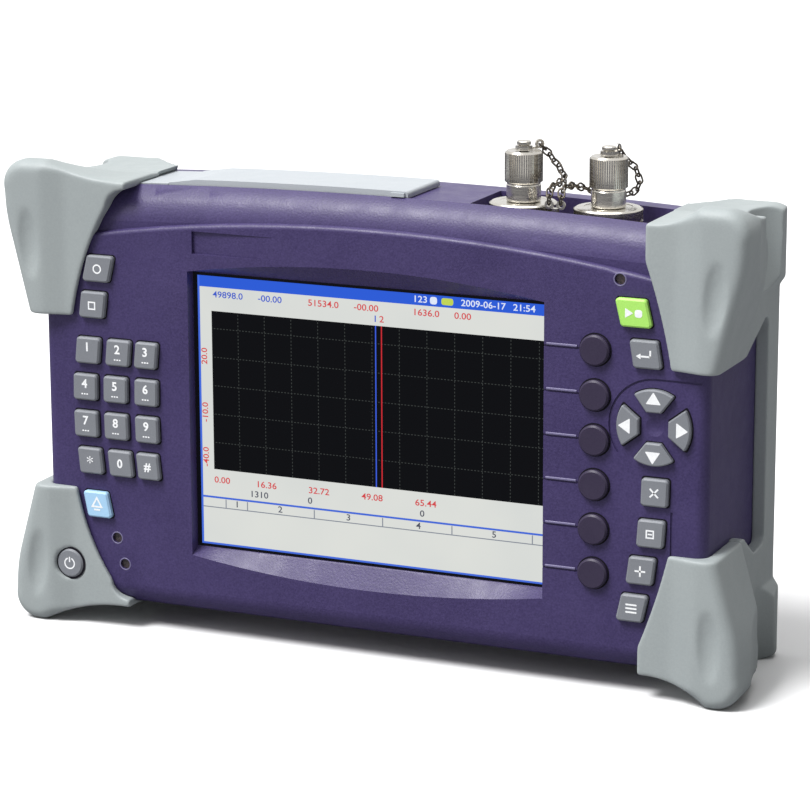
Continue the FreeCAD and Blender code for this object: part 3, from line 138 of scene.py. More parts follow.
class Finish:
    # a material that is put together in a few lines
    middleBand = (0.3, 0.7)  # where most values of a noise lie

    def __init__(self, name, **fixed):
        self.material = bpy.data.materials.new(name)
        self.material.use_nodes = True
        self.tree = self.material.node_tree
        self.shader = self.tree.nodes["Principled BSDF"]
        for socket, value in fixed.items():
            self.shader.inputs[socket.replace("_", " ")].default_value = value
        self.place = self.node("ShaderNodeTexCoord", {}, {}, "Object")

    def node(self, kind, settings, inputs, output=0):
        made = self.tree.nodes.new(kind)
        for key, value in settings.items():
            setattr(made, key, value)
        for key, value in inputs.items():
            self.join(made.inputs[key], value)
        return Wire(self, made.outputs[output])

    def join(self, socket, value):
        if isinstance(value, Wire):
            self.tree.links.new(value.socket, socket)
        else:
            socket.default_value = value

    def feed(self, socket, value):
        self.join(self.shader.inputs[socket], value)

    def calc(self, operation, *values):
        return self.node("ShaderNodeMath", {"operation": operation}, dict(enumerate(values)))

    def mix(self, factor, first, second):
        # sockets 0, 6 and 7 are the factor and the two colours, output 2 is the colour
        return self.node("ShaderNodeMix", {"data_type": "RGBA"}, {0: factor, 6: first, 7: second}, 2)

    def noise(self, scale, detail=2.0, stretch=None):
        place = self.place
        if stretch:
            place = self.node("ShaderNodeMapping", {}, {"Vector": self.place, "Scale": stretch})
        return self.node("ShaderNodeTexNoise", {}, {"Vector": place, "Scale": scale, "Detail": detail})

    def spread(self, value, low, high):
        # the middle band of value, drawn out to low and high
        start, end = self.middleBand
        return self.node("ShaderNodeMapRange", {}, {
            "Value": value, "From Min": start, "From Max": end, "To Min": low, "To Max": high})

    def relief(self, height, depth):
        self.feed("Normal", self.node("ShaderNodeBump", {}, {"Height": height, "Distance": depth}))

    def axes(self):
        split = self.node("ShaderNodeSeparateXYZ", {}, {"Vector": self.place})
        outputs = split.socket.node.outputs
        return [Wire(self, outputs[axis]) for axis in range(3)]


plasticLook = {
    # pattern sizes are in features per metre
    "cloud": 42.0,
    "cloudShare": 0.35,
    "speckShare": 0.65,
    "wear": 160.0,
}
plasticTable = {
    # finish: colour, second colour, roughness low and high, grain per metre, grain depth, shine
    "case_plastic": (shade(71, 61, 105), shade(53, 44, 84), 0.36, 0.46, 1400, 0.00007, 0.34),
    "grey_rubber": (shade(158, 165, 165), shade(150, 157, 158), 0.45, 0.58, 1500, 0.00003, 0.45),
    "cover_rubber": (shade(176, 181, 185), shade(167, 172, 177), 0.40, 0.50, 2400, 0.00003, 0.32),
    "key_grey": (shade(128, 131, 137), shade(121, 124, 130), 0.42, 0.52, 2000, 0.00002, 0.32),
    "key_green": (shade(176, 232, 112), shade(164, 222, 102), 0.36, 0.46, 3000, 0.00002, 0.32),
    "key_blue": (shade(170, 208, 236), shade(160, 200, 232), 0.36, 0.46, 3000, 0.00002, 0.32),
    "key_dark": (shade(56, 48, 70), shade(50, 43, 64), 0.36, 0.46, 3000, 0.00002, 0.32),
    "dark_plastic": (shade(38, 37, 42), shade(32, 31, 36), 0.40, 0.55, 2600, 0.00003, 0.32),
    "socket_black": (shade(26, 26, 28), shade(21, 21, 23), 0.38, 0.50, 2600, 0.00002, 0.32),
    "battery_sleeve": (shade(52, 66, 98), shade(46, 59, 90), 0.45, 0.60, 1800, 0.00003, 0.32),
    "circuit_board": (shade(24, 84, 52), shade(18, 70, 43), 0.35, 0.50, 900, 0.00002, 0.32),
    # painted shade: near-black plastic for the shadowed gaps round the keys
    "key_gap_shade": (shade(20, 17, 28), shade(15, 13, 22), 0.55, 0.70, 2600, 0.00002, 0.20),
    # painted highlight: a paler copy of the case plastic, for the lit tops of the ribs and the glint
    # rings round the status lights
    "rib_highlight_plastic": (shade(118, 112, 146), shade(108, 102, 136), 0.30, 0.40, 1500, 0.00003, 0.40),
}


def plasticFinish(name, first, second, smooth, rough, grain, depth, shine):
    made = Finish(name, Specular_IOR_Level=shine)
    cloud = made.spread(made.noise(plasticLook["cloud"], 3.0), 0.0, 1.0) * plasticLook["cloudShare"]
    speck = made.noise(grain)
    colour = cloud + made.spread(speck, 0.0, plasticLook["speckShare"])
    made.feed("Base Color", made.mix(colour, first, second))
    made.feed("Roughness", made.spread(made.noise(plasticLook["wear"], 3.0), smooth, rough))
    made.relief(speck, depth)
    return made.material


metalLook = {
    "cloud": 90.0,
    "grain": 900.0,
    "depth": 0.00001,
}
metalTable = {
    # finish: colour, second colour, roughness low and high, stretch of the grain along X, Y and Z
    "bright_metal": (shade(214, 210, 202), shade(198, 194, 186), 0.16, 0.30, (0.15, 0.15, 3.0)),
    "chain_metal": (shade(92, 86, 78), shade(74, 69, 63), 0.28, 0.42, (1.0, 1.0, 1.0)),
    "screw_steel": (shade(150, 150, 152), shade(132, 132, 135), 0.26, 0.40, (1.0, 0.2, 1.0)),
    "lcd_metal": (shade(176, 178, 180), shade(160, 162, 165), 0.35, 0.50, (0.1, 1.0, 2.0)),
    "engine_aluminium": (shade(190, 192, 194), shade(174, 176, 180), 0.34, 0.48, (0.2, 2.0, 1.0)),
}


def metalFinish(name, first, second, smooth, rough, stretch):
    made = Finish(name, Metallic=1.0)
    grain = made.noise(metalLook["grain"], 3.0, stretch)
    cloud = made.spread(made.noise(metalLook["cloud"], 3.0), 0.0, 1.0)
    made.feed("Base Color", made.mix(cloud, first, second))
    made.feed("Roughness", made.spread(grain, smooth, rough))
    made.relief(grain, metalLook["depth"])
    return made.material


lensLook = {
    "dark": shade(34, 30, 34),
    "glint": shade(78, 66, 66),
    "speck": 1500.0,
    "roughness": (0.2, 0.4),
    "coatRoughness": 0.06,
}


def lensFinish(look):
    # the dark lens of a status light
    made = Finish("light_lens", Coat_Weight=1.0, Coat_Roughness=look["coatRoughness"])
    speck = made.noise(look["speck"], 3.0)
    made.feed("Base Color", made.mix(made.spread(speck, 0.0, 1.0), look["dark"], look["glint"]))
    made.feed("Roughness", made.spread(speck, *look["roughness"]))
    return made.material


inkLook = {
    "speck": 1400.0,
    "wear": 2200.0,
    "roughness": (0.45, 0.6),
}


def inkFinish(name, colour, second):
    # printed ink, a touch uneven
    made = Finish(name)
    speck = made.spread(made.noise(inkLook["speck"]), 0.0, 1.0)
    made.feed("Base Color", made.mix(speck, colour, second))
    made.feed("Roughness", made.spread(made.noise(inkLook["wear"]), *inkLook["roughness"]))
    return made.material


litLook = {
    "speck": 2600.0,
    "roughness": 0.3,
}


def litFinish(name, colour, second):
    # figures of the lit screen
    made = Finish(name, Base_Color=(0.0, 0.0, 0.0, 1.0), Roughness=litLook["roughness"],
                  Emission_Strength=1.0)
    speck = made.spread(made.noise(litLook["speck"], 1.0), 0.0, 1.0)
    made.feed("Emission Color", made.mix(speck, colour, second))
    return made.material


whiteInk = inkFinish("white_ink", shade(246, 247, 248), shade(234, 236, 238))
screenBlue = litFinish("screen_blue", shade(52, 84, 196), shade(62, 94, 204))
screenRed = litFinish("screen_red", shade(206, 62, 66), shade(214, 72, 76))
screenWhite = litFinish("screen_white", shade(228, 236, 250), shade(214, 224, 244))
screenGrey = litFinish("screen_grey", shade(70, 74, 88), shade(78, 82, 98))
screenYellow = litFinish("screen_yellow", shade(196, 214, 84), shade(186, 206, 76))

pictureLook = {
    # the lit picture, in millimetres from the middle of the screen
    "middle": 82.9,  # height of that middle
    "half": (65.3, 48.75),
    "titleFoot": 44.8,
    "graph": (-60.0, 65.5, -21.0, 36.3),  # left, right, foot and top
    "gridStart": (-60.0, 30.0),
    "gridPitch": 10.3,
    "gridDot": 0.62,
    "gridHalf": 0.13,  # half the width of a grid line, and so on below
    "blueLine": 3.2,
    "redLine": 5.4,
    "lineHalf": 0.22,
    "tableHead": (-31.8, -35.0),  # top and foot
    "tableBars": (-55.5, -47.0, -20.8, 5.5, 31.7, 61.5),
    "tableHalf": (0.2, 0.18),
    "ruleRise": 0.5,
    "ruleHalf": 0.35,
    "edge": (0.8, 0.7),
    "cloud": 30.0,
    "colours": {
        "glass": shade(3, 3, 5),
        "unlit": shade(13, 13, 17),
        "paper": shade(221, 223, 218),
        "secondPaper": shade(214, 217, 214),
        "title": shade(45, 92, 214),
        "graph": shade(9, 10, 12),
        "grid": shade(62, 66, 64),
        "blueLine": shade(62, 96, 224),
        "redLine": shade(206, 44, 52),
        "rule": shade(66, 104, 214),
        "bars": shade(132, 138, 150),
        "edge": shade(70, 108, 220),
    },
}


def screenFinish(view):
    colours = view["colours"]
    made = Finish("display_glass", Base_Color=colours["glass"], Roughness=0.10,
                  Specular_IOR_Level=0.12, Emission_Strength=1.0)
    across, _, rise = made.axes()
    x = across * 1000.0
    z = rise * 1000.0 - view["middle"]

    def band(value, low, high):
        return (value > low) * (value < high)

    def near(value, centre, half):
        return band(value, centre - half, centre + half)

    halfX, halfZ = view["half"]
    left, right, foot, top = view["graph"]
    lit = band(x, -halfX, halfX) * band(z, -halfZ, halfZ)
    cloud = made.spread(made.noise(view["cloud"]), 0.0, 1.0)
    colour = made.mix(cloud, colours["paper"], colours["secondPaper"])
    colour = made.mix(z > view["titleFoot"], colour, colours["title"])
    graph = band(x, left, right) * band(z, foot, top)
    colour = made.mix(graph, colour, colours["graph"])
    # dotted grid: a line test one way, a dash test the other
    startX, startZ = view["gridStart"]
    pitch = view["gridPitch"]
    dot = view["gridDot"]
    columns = made.calc("PINGPONG", x - startX, pitch / 2) < view["gridHalf"]
    rows = made.calc("PINGPONG", z - startZ, pitch / 2) < view["gridHalf"]
    dashZ = made.calc("PINGPONG", z, dot) > dot / 2
    dashX = made.calc("PINGPONG", x, dot) > dot / 2
    grid = made.calc("MAXIMUM", columns * dashZ, rows * dashX) * graph
    colour = made.mix(grid, colour, colours["grid"])
    for line in ("blueLine", "redLine"):
        cursor = near(x, view[line], view["lineHalf"]) * band(z, foot, top)
        colour = made.mix(cursor, colour, colours[line])
    # blue rule and table head
    high, low = view["tableHead"]
    rule = near(z, high + view["ruleRise"], view["ruleHalf"]) * lit
    colour = made.mix(rule, colour, colours["rule"])
    uprightHalf, footHalf = view["tableHalf"]
    bars = near(z, low, footHalf)
    for bar in view["tableBars"]:
        bars = made.calc("MAXIMUM", bars, near(x, bar, uprightHalf) * band(z, low, high))
    colour = made.mix(bars, colour, colours["bars"])
    edgeX, edgeZ = view["edge"]
    edge = made.calc("MAXIMUM", x < -halfX + edgeX, z < -halfZ + edgeZ)
    colour = made.mix(edge, colour, colours["edge"])
    made.feed("Emission Color", made.mix(lit, colours["unlit"], colour))
    return made.material


finishes = {name: plasticFinish(name, *values) for name, values in plasticTable.items()}
finishes.update((name, metalFinish(name, *values)) for name, values in metalTable.items())
finishes["light_lens"] = lensFinish(lensLook)
finishes["display_glass"] = screenFinish(pictureLook)
print("finishes mixed:", len(finishes))

# carried-over nodes take the finish of their slot
slotOf = {entry["node"]: entry["material_slot"] for entry in frame["record"]["subparts"]}
for name, node in frame["nodes"].items():
    node.data.materials.clear()
    node.data.materials.append(finishes[slotOf[name]])
print("nodes finished:", len(frame["nodes"]))

# values that several pieces share
panelFace = -0.0305
weldGap = 0.000001
crispAngle = 30.0


def activate(piece):
    if bpy.context.object and bpy.context.object.mode != "OBJECT":
        bpy.ops.object.mode_set(mode="OBJECT")
    bpy.ops.object.select_all(action="DESELECT")
    piece.select_set(True)
    bpy.context.view_layer.objects.active = piece


def editAll():
    # edit mode, with everything chosen
    bpy.ops.object.mode_set(mode="EDIT")
    bpy.ops.mesh.select_all(action="SELECT")


def endEdit():
    bpy.ops.object.mode_set(mode="OBJECT")


def pickFaces(piece, test):
    # edit mode, with the faces chosen whose middle and normal pass the test
    bpy.ops.object.mode_set(mode="EDIT")
    bpy.ops.mesh.select_mode(type="FACE")
    bpy.ops.mesh.select_all(action="DESELECT")
    endEdit()
    for face in piece.data.polygons:
        face.select = test(face.center, face.normal)
    bpy.ops.object.mode_set(mode="EDIT")


def pickEdges(piece, test):
    # edit mode, with the edges chosen whose two ends pass the test
    bpy.ops.object.mode_set(mode="EDIT")
    bpy.ops.mesh.select_mode(type="EDGE")
    bpy.ops.mesh.select_all(action="DESELECT")
    endEdit()
    points = piece.data.vertices
    for edge in piece.data.edges:
        edge.select = test(points[edge.vertices[0]].co, points[edge.vertices[1]].co)
    bpy.ops.object.mode_set(mode="EDIT")


def settle(piece):
    # the place goes into the mesh
    activate(piece)
    bpy.ops.object.transform_apply(location=True, rotation=True, scale=True)


def outward(piece):
    activate(piece)
    editAll()
    bpy.ops.mesh.remove_doubles(threshold=weldGap)
    bpy.ops.mesh.normals_make_consistent(inside=False)
    endEdit()


def joined(name, parts):
    activate(parts[0])
    for part in parts:
        part.select_set(True)
    if len(parts) > 1:
        bpy.ops.object.join()
    piece = bpy.context.object
    piece.name = name
    return piece


def finished(piece, body, material, smoothAngle, replaced=()):
    activate(piece)
    bpy.ops.object.shade_smooth_by_angle(angle=math.radians(smoothAngle))
    piece.data.materials.clear()
    piece.data.materials.append(material)
    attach(piece, body)
    if replaced:
        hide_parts(*replaced)


def copied(piece, name, move):
    # a copy with its own mesh, shifted by move
    twin = piece.copy()
    twin.data = piece.data.copy()
    twin.name = name
    bpy.context.collection.objects.link(twin)
    activate(twin)
    editAll()
    bpy.ops.transform.translate(value=move)
    endEdit()
    return twin


def nodeCopy(name):
    # a merged copy of a carried-over node, free of its body
    source = frame["nodes"][name]
    twin = bpy.data.objects.new(name + "_copy", source.data.copy())
    bpy.context.collection.objects.link(twin)
    outward(twin)
    return twin


def turned(name, place, sides, profile):
    # a round piece grown ring by ring from a filled circle: steps of radius and height
    x, y = place
    radius, height = profile[0]
    bpy.ops.mesh.primitive_circle_add(vertices=sides, radius=radius, fill_type="NGON",
                                      location=(x, y, height))
    piece = bpy.context.object
    piece.name = name
    editAll()
    for nextRadius, nextHeight in profile[1:]:
        rise = nextHeight - height
        bpy.ops.mesh.extrude_region_move(TRANSFORM_OT_translate={"value": (0.0, 0.0, rise)})
        factor = nextRadius / radius
        bpy.ops.transform.resize(value=(factor, factor, 1.0), center_override=(x, y, nextHeight))
        radius, height = nextRadius, nextHeight
    endEdit()
    settle(piece)
    outward(piece)
    return piece


def ribbed(piece, centre, sides, step, keep, low, high, depth):
    # straight knurl: of every step side faces between low and high, keep stand out by depth
    steepest = 0.2  # side faces look less far up or down than this

    def test(middle, normal):
        turn = math.atan2(middle.y - centre[1], middle.x - centre[0]) / (2 * math.pi) % 1.0
        chosen = int(turn * sides) % step < keep
        return abs(normal.z) < steepest and low < middle.z < high and chosen

    activate(piece)
    pickFaces(piece, test)
    bpy.ops.mesh.extrude_region_shrink_fatten(TRANSFORM_OT_shrink_fatten={"value": depth})
    endEdit()


padLook = {
    # the thin spot of each rear hollow, where the case would show through
    "places": [(0.1242, 0.0130, 0.0100), (-0.1242, 0.0130, 0.0100)],
    "half": (0.0010, 0.0040, 0.0017),
}
bootLook = {
    # soft moulding: voxel of its skin, rounds of easing, places of its pads
    "boot_upper_left": (0.00055, 26, []),
    "boot_upper_right": (0.00055, 26, []),
    "boot_lower_left": (0.00055, 26, []),
    "boot_lower_right": (0.00055, 26, []),
    "rear_bumpers": (0.0006, 8, padLook["places"]),
}


def softPad(place):
    bpy.ops.mesh.primitive_uv_sphere_add(segments=24, ring_count=12, radius=1.0, location=place)
    pad = bpy.context.object
    pad.scale = padLook["half"]
    settle(pad)
    return pad


def softBoot(name, voxel, rounds, padPlaces):
    # the moulding closed up in one skin, with every edge rounded over
    piece = joined(name + "_soft", [nodeCopy(name)] + [softPad(place) for place in padPlaces])
    activate(piece)
    bpy.ops.mesh.customdata_custom_splitnormals_clear()
    piece.data.use_remesh_preserve_attributes = False
    piece.data.remesh_voxel_size = voxel
    bpy.ops.object.voxel_remesh()
    easing = piece.modifiers.new("easing", "SMOOTH")
    easing.factor = 0.5
    easing.iterations = rounds
    bpy.ops.object.modifier_apply(modifier=easing.name)
    finished(piece, "case", finishes["grey_rubber"], 180.0, (name,))
    print(name, "faces", len(piece.data.polygons))


for name, values in bootLook.items():
    softBoot(name, *values)

portLook = {
    "left": (0.0502, -0.0075),
    "pitch": 0.0306,
    "ringFoot": 0.1549,
    "ringTop": 0.1629,
    "ringRadius": 0.0114,
    "ringSides": 264,
    "ringRib": 0.0003,
    "ringKnurl": (0.0006, -0.0008),  # its ends, from the ring's foot and top
    # steps of the ring: past its radius, past its foot, and then past its top
    "lowSteps": [(-0.0004, 0.0), (0.0, 0.0004), (0.0, 0.0035), (-0.0006, 0.0037),
                 (-0.0006, 0.0041), (0.0, 0.0043)],
    "highSteps": [(0.0, -0.0006), (-0.0005, -0.0001), (-0.0009, 0.0), (-0.0030, 0.0),
                  (-0.0032, -0.00015), (-0.0045, -0.00015)],
    "barrelRadius": 0.0037,
    "barrelSides": 72,
    "barrelTop": 0.1719,
    "barrelEdge": 0.0003,
    # the collar at the barrel's foot: past its radius, past the ring's top
    "collarSteps": [(0.0006, -0.00015), (0.0004, 0.0)],
    "threadRise": 0.0003,
    "threadPitch": 0.00075,
    "threadCrest": 0.45,  # share of a turn
    "threadEnds": (-0.0002, -0.0012),  # from the ring's top and the barrel's top
    # the bore and its sleeve: radius, past the barrel's top
    "boreSteps": [(0.0026, 0.0), (0.0026, -0.0070), (0.0016, -0.0070), (0.0016, -0.0006),
                  (0.0014, -0.0004), (0.00125, -0.0004), (0.00125, -0.0060)],
}


def raised(steps, radius, height):
    # profile steps, moved out and up
    return [(radius + out, height + up) for out, up in steps]


def portRing(look):
    # knurled base ring with a polished top, and the threaded barrel with its sleeve
    foot, top, end = look["ringFoot"], look["ringTop"], look["barrelTop"]
    sides, radius = look["ringSides"], look["barrelRadius"]
    ring = turned("port_ring", look["left"], sides,
                  raised(look["lowSteps"], look["ringRadius"], foot)
                  + raised(look["highSteps"], look["ringRadius"], top)
                  + raised(look["collarSteps"], radius, top))
    knurlStart, knurlEnd = look["ringKnurl"]
    ribbed(ring, look["left"], sides, step=2, keep=1, low=foot + knurlStart,
           high=top + knurlEnd, depth=look["ringRib"])
    threadStart, threadEnd = look["threadEnds"]
    steps = []
    height = top + threadStart
    while height < end + threadEnd:
        steps.append((radius, height))
        crest = height + look["threadPitch"] * look["threadCrest"]
        steps.append((radius + look["threadRise"], crest))
        height += look["threadPitch"]
    steps += [(radius, height), (radius, end - look["barrelEdge"]), (radius - look["barrelEdge"], end)]
    steps += raised(look["boreSteps"], 0.0, end)
    barrel = turned("port_barrel", look["left"], look["barrelSides"], steps)
    return joined("fiber_port_pair", [ring, barrel])


capLook = {
    "sides": 156,
    "rib": 0.0003,
    "knurl": (0.0070, 0.0160),
    # from the hollow below, by the skirt, the relieved grip and the stem, to the button:
    # radius, height over the ring's top
    "steps": [(0.0001, 0.0093), (0.00405, 0.0093), (0.00405, 0.0002), (0.0043, 0.0),
              (0.0056, 0.0), (0.0059, 0.0003), (0.0059, 0.0056), (0.0057, 0.0059),
              (0.0057, 0.0062), (0.0060, 0.0065), (0.0062, 0.0068),
              (0.0062, 0.0165), (0.0058, 0.0172), (0.0040, 0.0172),
              (0.0036, 0.0171), (0.0017, 0.0171), (0.0015, 0.0173), (0.0015, 0.0191),
              (0.0021, 0.0191), (0.0024, 0.0194), (0.0024, 0.0202),
              (0.0021, 0.0205), (0.0012, 0.0206)],
}


def screwCap(look):
    foot = portLook["ringTop"]
    knurlStart, knurlEnd = look["knurl"]
    cap = turned("cap", portLook["left"], look["sides"], raised(look["steps"], 0.0, foot))
    ribbed(cap, portLook["left"], look["sides"], step=3, keep=2, low=foot + knurlStart,
           high=foot + knurlEnd, depth=look["rib"])
    return cap


portShift = (portLook["pitch"], 0.0, 0.0)
leftPort = portRing(portLook)
rightPort = copied(leftPort, "port_right", portShift)
finished(joined("fiber_port_pair", [leftPort, rightPort]), "case",
         finishes["bright_metal"], crispAngle, ("fiber_adapters",))
leftCap = screwCap(capLook)
rightCap = copied(leftCap, "dust_cap_right_knurled", portShift)
leftCap.name = "dust_cap_left_knurled"
for cap, body in ((leftCap, "dust_cap_left"), (rightCap, "dust_cap_right")):
    finished(cap, body, finishes["bright_metal"], crispAngle, (body,))
print("ports and caps made")

chainLook = {
    "wire": 0.00034,
    "width": 0.00290,
    "length": 0.00420,
    "wireSides": 8,
    "ringSteps": 24,
    "low": (0.0, 0.0, 0.1640),  # the chain's foot, at the case
    "high": (0.0, 0.0, 0.1814),  # the chain's top, at the swivel
    "endCone": 0.7,  # cosine of the cone that holds a link's end
    "leastFace": 1e-9,
    "sameWay": 0.98,  # cosine within which two faces count as parallel
    "faceWeight": 0.1,
}


def oneLink(look):
    # a ring of wire drawn out to an oval, lying flat with its length along X
    bpy.ops.mesh.primitive_torus_add(major_segments=look["ringSteps"], minor_segments=look["wireSides"],
                                     major_radius=look["width"] / 2 - look["wire"],
                                     minor_radius=look["wire"])
    piece = bpy.context.object
    stretch = (look["length"] - look["width"]) / 2
    for side in (1, -1):
        pickFaces(piece, lambda middle, normal: middle.x * side > 0.0)
        bpy.ops.transform.translate(value=(side * stretch, 0.0, 0.0))
        endEdit()
    return piece


def linkPlaces(node, look):
    # middle, length and flat direction of every link of a carried-over chain
    nodeCopy(node)
    editAll()
    bpy.ops.mesh.separate(type="LOOSE")
    endEdit()
    places = []
    parts = list(bpy.context.selected_objects)
    for part in parts:
        points = [vertex.co.copy() for vertex in part.data.vertices]
        faces = part.data.polygons
        middle = sum(points, Vector()) / len(points)
        along = max(points, key=lambda point: (point - middle).length) - middle
        ends = [point - middle for point in points
                if (point - middle).normalized().dot(along.normalized()) > look["endCone"]]
        along = sum(ends, Vector()).normalized()

        def flatness(normal):
            # low for a normal across the link that many faces share
            alike = sum(abs(face.normal.dot(normal)) > look["sameWay"] for face in faces)
            return abs(normal.dot(along)) - alike * look["faceWeight"]

        flat = min((face.normal for face in faces if face.area > look["leastFace"]), key=flatness).copy()
        flat = (flat - along * flat.dot(along)).normalized()
        places.append((middle, along, flat))
    for part in parts:
        bpy.data.objects.remove(part)
    return places


def chainOf(node, look, low, high):
    links = []
    master = oneLink(look)
    for middle, along, flat in linkPlaces(node, look):
        link = master.copy()
        link.data = master.data.copy()
        bpy.context.collection.objects.link(link)
        side = flat.cross(along)
        for vertex in link.data.vertices:
            x, y, z = vertex.co
            vertex.co = middle + along * x + side * y + flat * z
        links.append(link)
    bpy.data.objects.remove(master)
    chain = joined(node + "_links", links)
    outward(chain)
    bpy.ops.object.shade_smooth()
    chain.data.materials.append(finishes["chain_metal"])
    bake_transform(chain)
    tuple(low)
    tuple(high)
    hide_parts(node)


chainOf("chain_left", chainLook, chainLook["low"], chainLook["high"])
chainOf("chain_right", chainLook, chainLook["low"], chainLook["high"])
print("chains linked")

printLook = {
    "thickness": 0.00004,
    "lift": 0.00001,
    "bold": 0.010,  # share of a figure's size
    "clip": 0.3,  # share of a bar's width
    "corner": 0.12,  # share of a wedge's radius
}


def placedFlat(parts, name, x, faceY, z, body, material):
    # flat parts drawn on X and Y are stood up against the face that looks towards -Y
    piece = joined(name, parts)
    settle(piece)
    editAll()
    bpy.ops.mesh.extrude_region_move(TRANSFORM_OT_translate={"value": (0.0, 0.0, printLook["thickness"])})
    bpy.ops.mesh.select_all(action="SELECT")
    bpy.ops.mesh.normals_make_consistent(inside=False)
    endEdit()
    piece.rotation_euler = (math.radians(90), 0.0, 0.0)
    piece.location = (x, faceY - printLook["lift"], z)
    settle(piece)
    finished(piece, body, material, crispAngle)


def laid(piece, x, y, turn=0.0, scale=(1.0, 1.0, 1.0)):
    # a flat part, scaled, turned by degrees and moved to its place
    piece.scale = scale
    piece.rotation_euler = (0.0, 0.0, math.radians(turn))
    piece.location = (x, y, 0.0)
    bpy.ops.object.transform_apply(location=True, rotation=True, scale=True)
    return piece


def figures(words, size, x=0.0, y=0.0, turn=0.0, align="CENTER", squeeze=1.0, bold=printLook["bold"]):
    # flat numbers, made a mesh before they are placed
    bpy.ops.object.text_add(location=(0.0, 0.0, 0.0))
    text = bpy.context.object
    text.data.body = words
    text.data.size = size
    text.data.align_x = align
    text.data.align_y = "CENTER"
    text.data.resolution_u = 3
    text.data.offset = size * bold
    bpy.ops.object.convert(target="MESH")
    return laid(text, x, y, turn, (squeeze, 1.0, 1.0))


def stroke(x, y, length, width, turn=0.0):
    # a straight printed bar with clipped ends
    bpy.ops.mesh.primitive_plane_add(size=1.0, location=(0.0, 0.0, 0.0))
    bar = laid(bpy.context.object, 0.0, 0.0, 0.0, (length, width, 1.0))
    editAll()
    bpy.ops.mesh.bevel(offset=width * printLook["clip"], segments=2, affect="VERTICES")
    endEdit()
    return laid(bar, x, y, turn)


def loop(x, y, radius, width, sides=40, turn=0.0, gap=0.0):
    # a printed ring, or an outlined figure with few sides; gap opens it at the top
    bpy.ops.mesh.primitive_circle_add(vertices=sides, radius=radius, fill_type="NGON")
    ring = laid(bpy.context.object, 0.0, 0.0, turn)
    editAll()
    bpy.ops.mesh.inset(thickness=width)
    bpy.ops.mesh.delete(type="FACE")
    endEdit()
    if gap:
        pickFaces(ring, lambda middle, normal: middle.y > 0 and abs(middle.x) < gap)
        bpy.ops.mesh.delete(type="FACE")
        endEdit()
    return laid(ring, x, y)


def wedge(x, y, radius, turn, squeeze=1.0):
    # a printed triangle with softened corners
    bpy.ops.mesh.primitive_circle_add(vertices=3, radius=radius, fill_type="NGON")
    arrow = bpy.context.object
    editAll()
    bpy.ops.mesh.bevel(offset=radius * printLook["corner"], segments=2, affect="VERTICES")
    endEdit()
    laid(arrow, 0.0, 0.0, 0.0, (1.0, squeeze, 1.0))
    return laid(arrow, x, y, turn)


def keyFace(node):
    low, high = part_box(node)
    return (low.x + high.x) / 2, low.y, (low.z + high.z) / 2


digitLook = {
    # key: printed sign, size, height over the key's middle, boldness
    "star": ("*", 0.0062, -0.0008, 0.0),
    "0": ("0", 0.0044, 0.0, 0.026),
    "hash": ("#", 0.0044, 0.0, 0.026),
    "others": (0.0044, 0.0012, 0.026),
}
dashLook = {
    # three short dashes in place of the small print
    "keys": "23456789",
    "step": 0.0010,
    "drop": -0.0036,
    "size": (0.0007, 0.0005),
}
for digit in ("1", "2", "3", "4", "5", "6", "7", "8", "9", "star", "0", "hash"):
    node = "keypad_key_" + digit
    x, y, z = keyFace(node)
    sign, size, rise, bold = digitLook.get(digit, (digit, *digitLook["others"]))
    parts = [figures(sign, size, bold=bold)]
    if digit in dashLook["keys"]:
        parts += [stroke(place * dashLook["step"], dashLook["drop"], *dashLook["size"])
                  for place in (-1, 0, 1)]
    placedFlat(parts, "figure_" + digit, x, y, z + rise, node, whiteInk)

fineLine, broadLine = 0.0005, 0.0006
keySigns = {
    # key: the parts of its plain printed sign, as the functions above take them
    "auto_key": [(loop, 0, 0, 0.0017, fineLine)],
    "home_key": [(loop, 0, -0.0002, 0.0021, fineLine, 4, 45)],
    "shift_key": [(loop, 0, 0.0003, 0.0028, broadLine, 3), (stroke, 0, -0.0019, 0.0026, broadLine)],
    "start_key": [(wedge, -0.0018, 0, 0.0019, -90), (stroke, 0.0019, 0, 0.0026, 0.0026)],
    "enter_key": [(stroke, 0.0002, -0.0006, 0.0036, broadLine),
                  (stroke, 0.0018, 0.0004, 0.0024, broadLine, 90),
                  (wedge, -0.0021, -0.0006, 0.0011, 90)],
    "cancel_key": [(stroke, 0, 0, 0.0042, broadLine, turn) for turn in (45, -45)],
    "file_key": [(loop, 0, 0, 0.0021, fineLine, 4, 45), (stroke, 0, 0, 0.0016, fineLine)],
    "setup_key": [(stroke, 0, 0, 0.0038, broadLine, turn) for turn in (0, 90)],
    "results_key": [(stroke, 0, rise, 0.0040, broadLine) for rise in (0.0013, 0, -0.0013)],
    "power_key": [(loop, 0, 0, 0.0022, fineLine, 48, 0, 0.0007),
                  (stroke, 0, 0.0014, 0.0020, fineLine, 90)],
}
for node, shapes in keySigns.items():
    x, y, z = keyFace(node)
    parts = [draw(*values) for draw, *values in shapes]
    placedFlat(parts, node + "_sign", x, y, z, node, whiteInk)

arrowLook = {
    "radius": 0.0031,
    "squeeze": 0.9,
    # way: shift along X and Z, turn
    "ways": {
        "up": (0.0, 0.0004, 0.0),
        "right": (0.0004, 0.0, -90.0),
        "down": (0.0, -0.0004, 180.0),
        "left": (-0.0004, 0.0, 90.0),
    },
}
for way, (moveX, moveZ, turn) in arrowLook["ways"].items():
    node = "cursor_key_" + way
    x, y, z = keyFace(node)
    arrow = wedge(0, 0, arrowLook["radius"], turn, arrowLook["squeeze"])
    placedFlat([arrow], "arrow_" + way, x + moveX, y, z + moveZ, node, whiteInk)
print("keys marked")

shadeRingLook = {
    "gap": 0.0001,
    "width": 0.0011,
    "wide": 0.0017,
    "thickness": 0.00006,
    "panel": -0.03057,
    "boot": -0.03303,
}


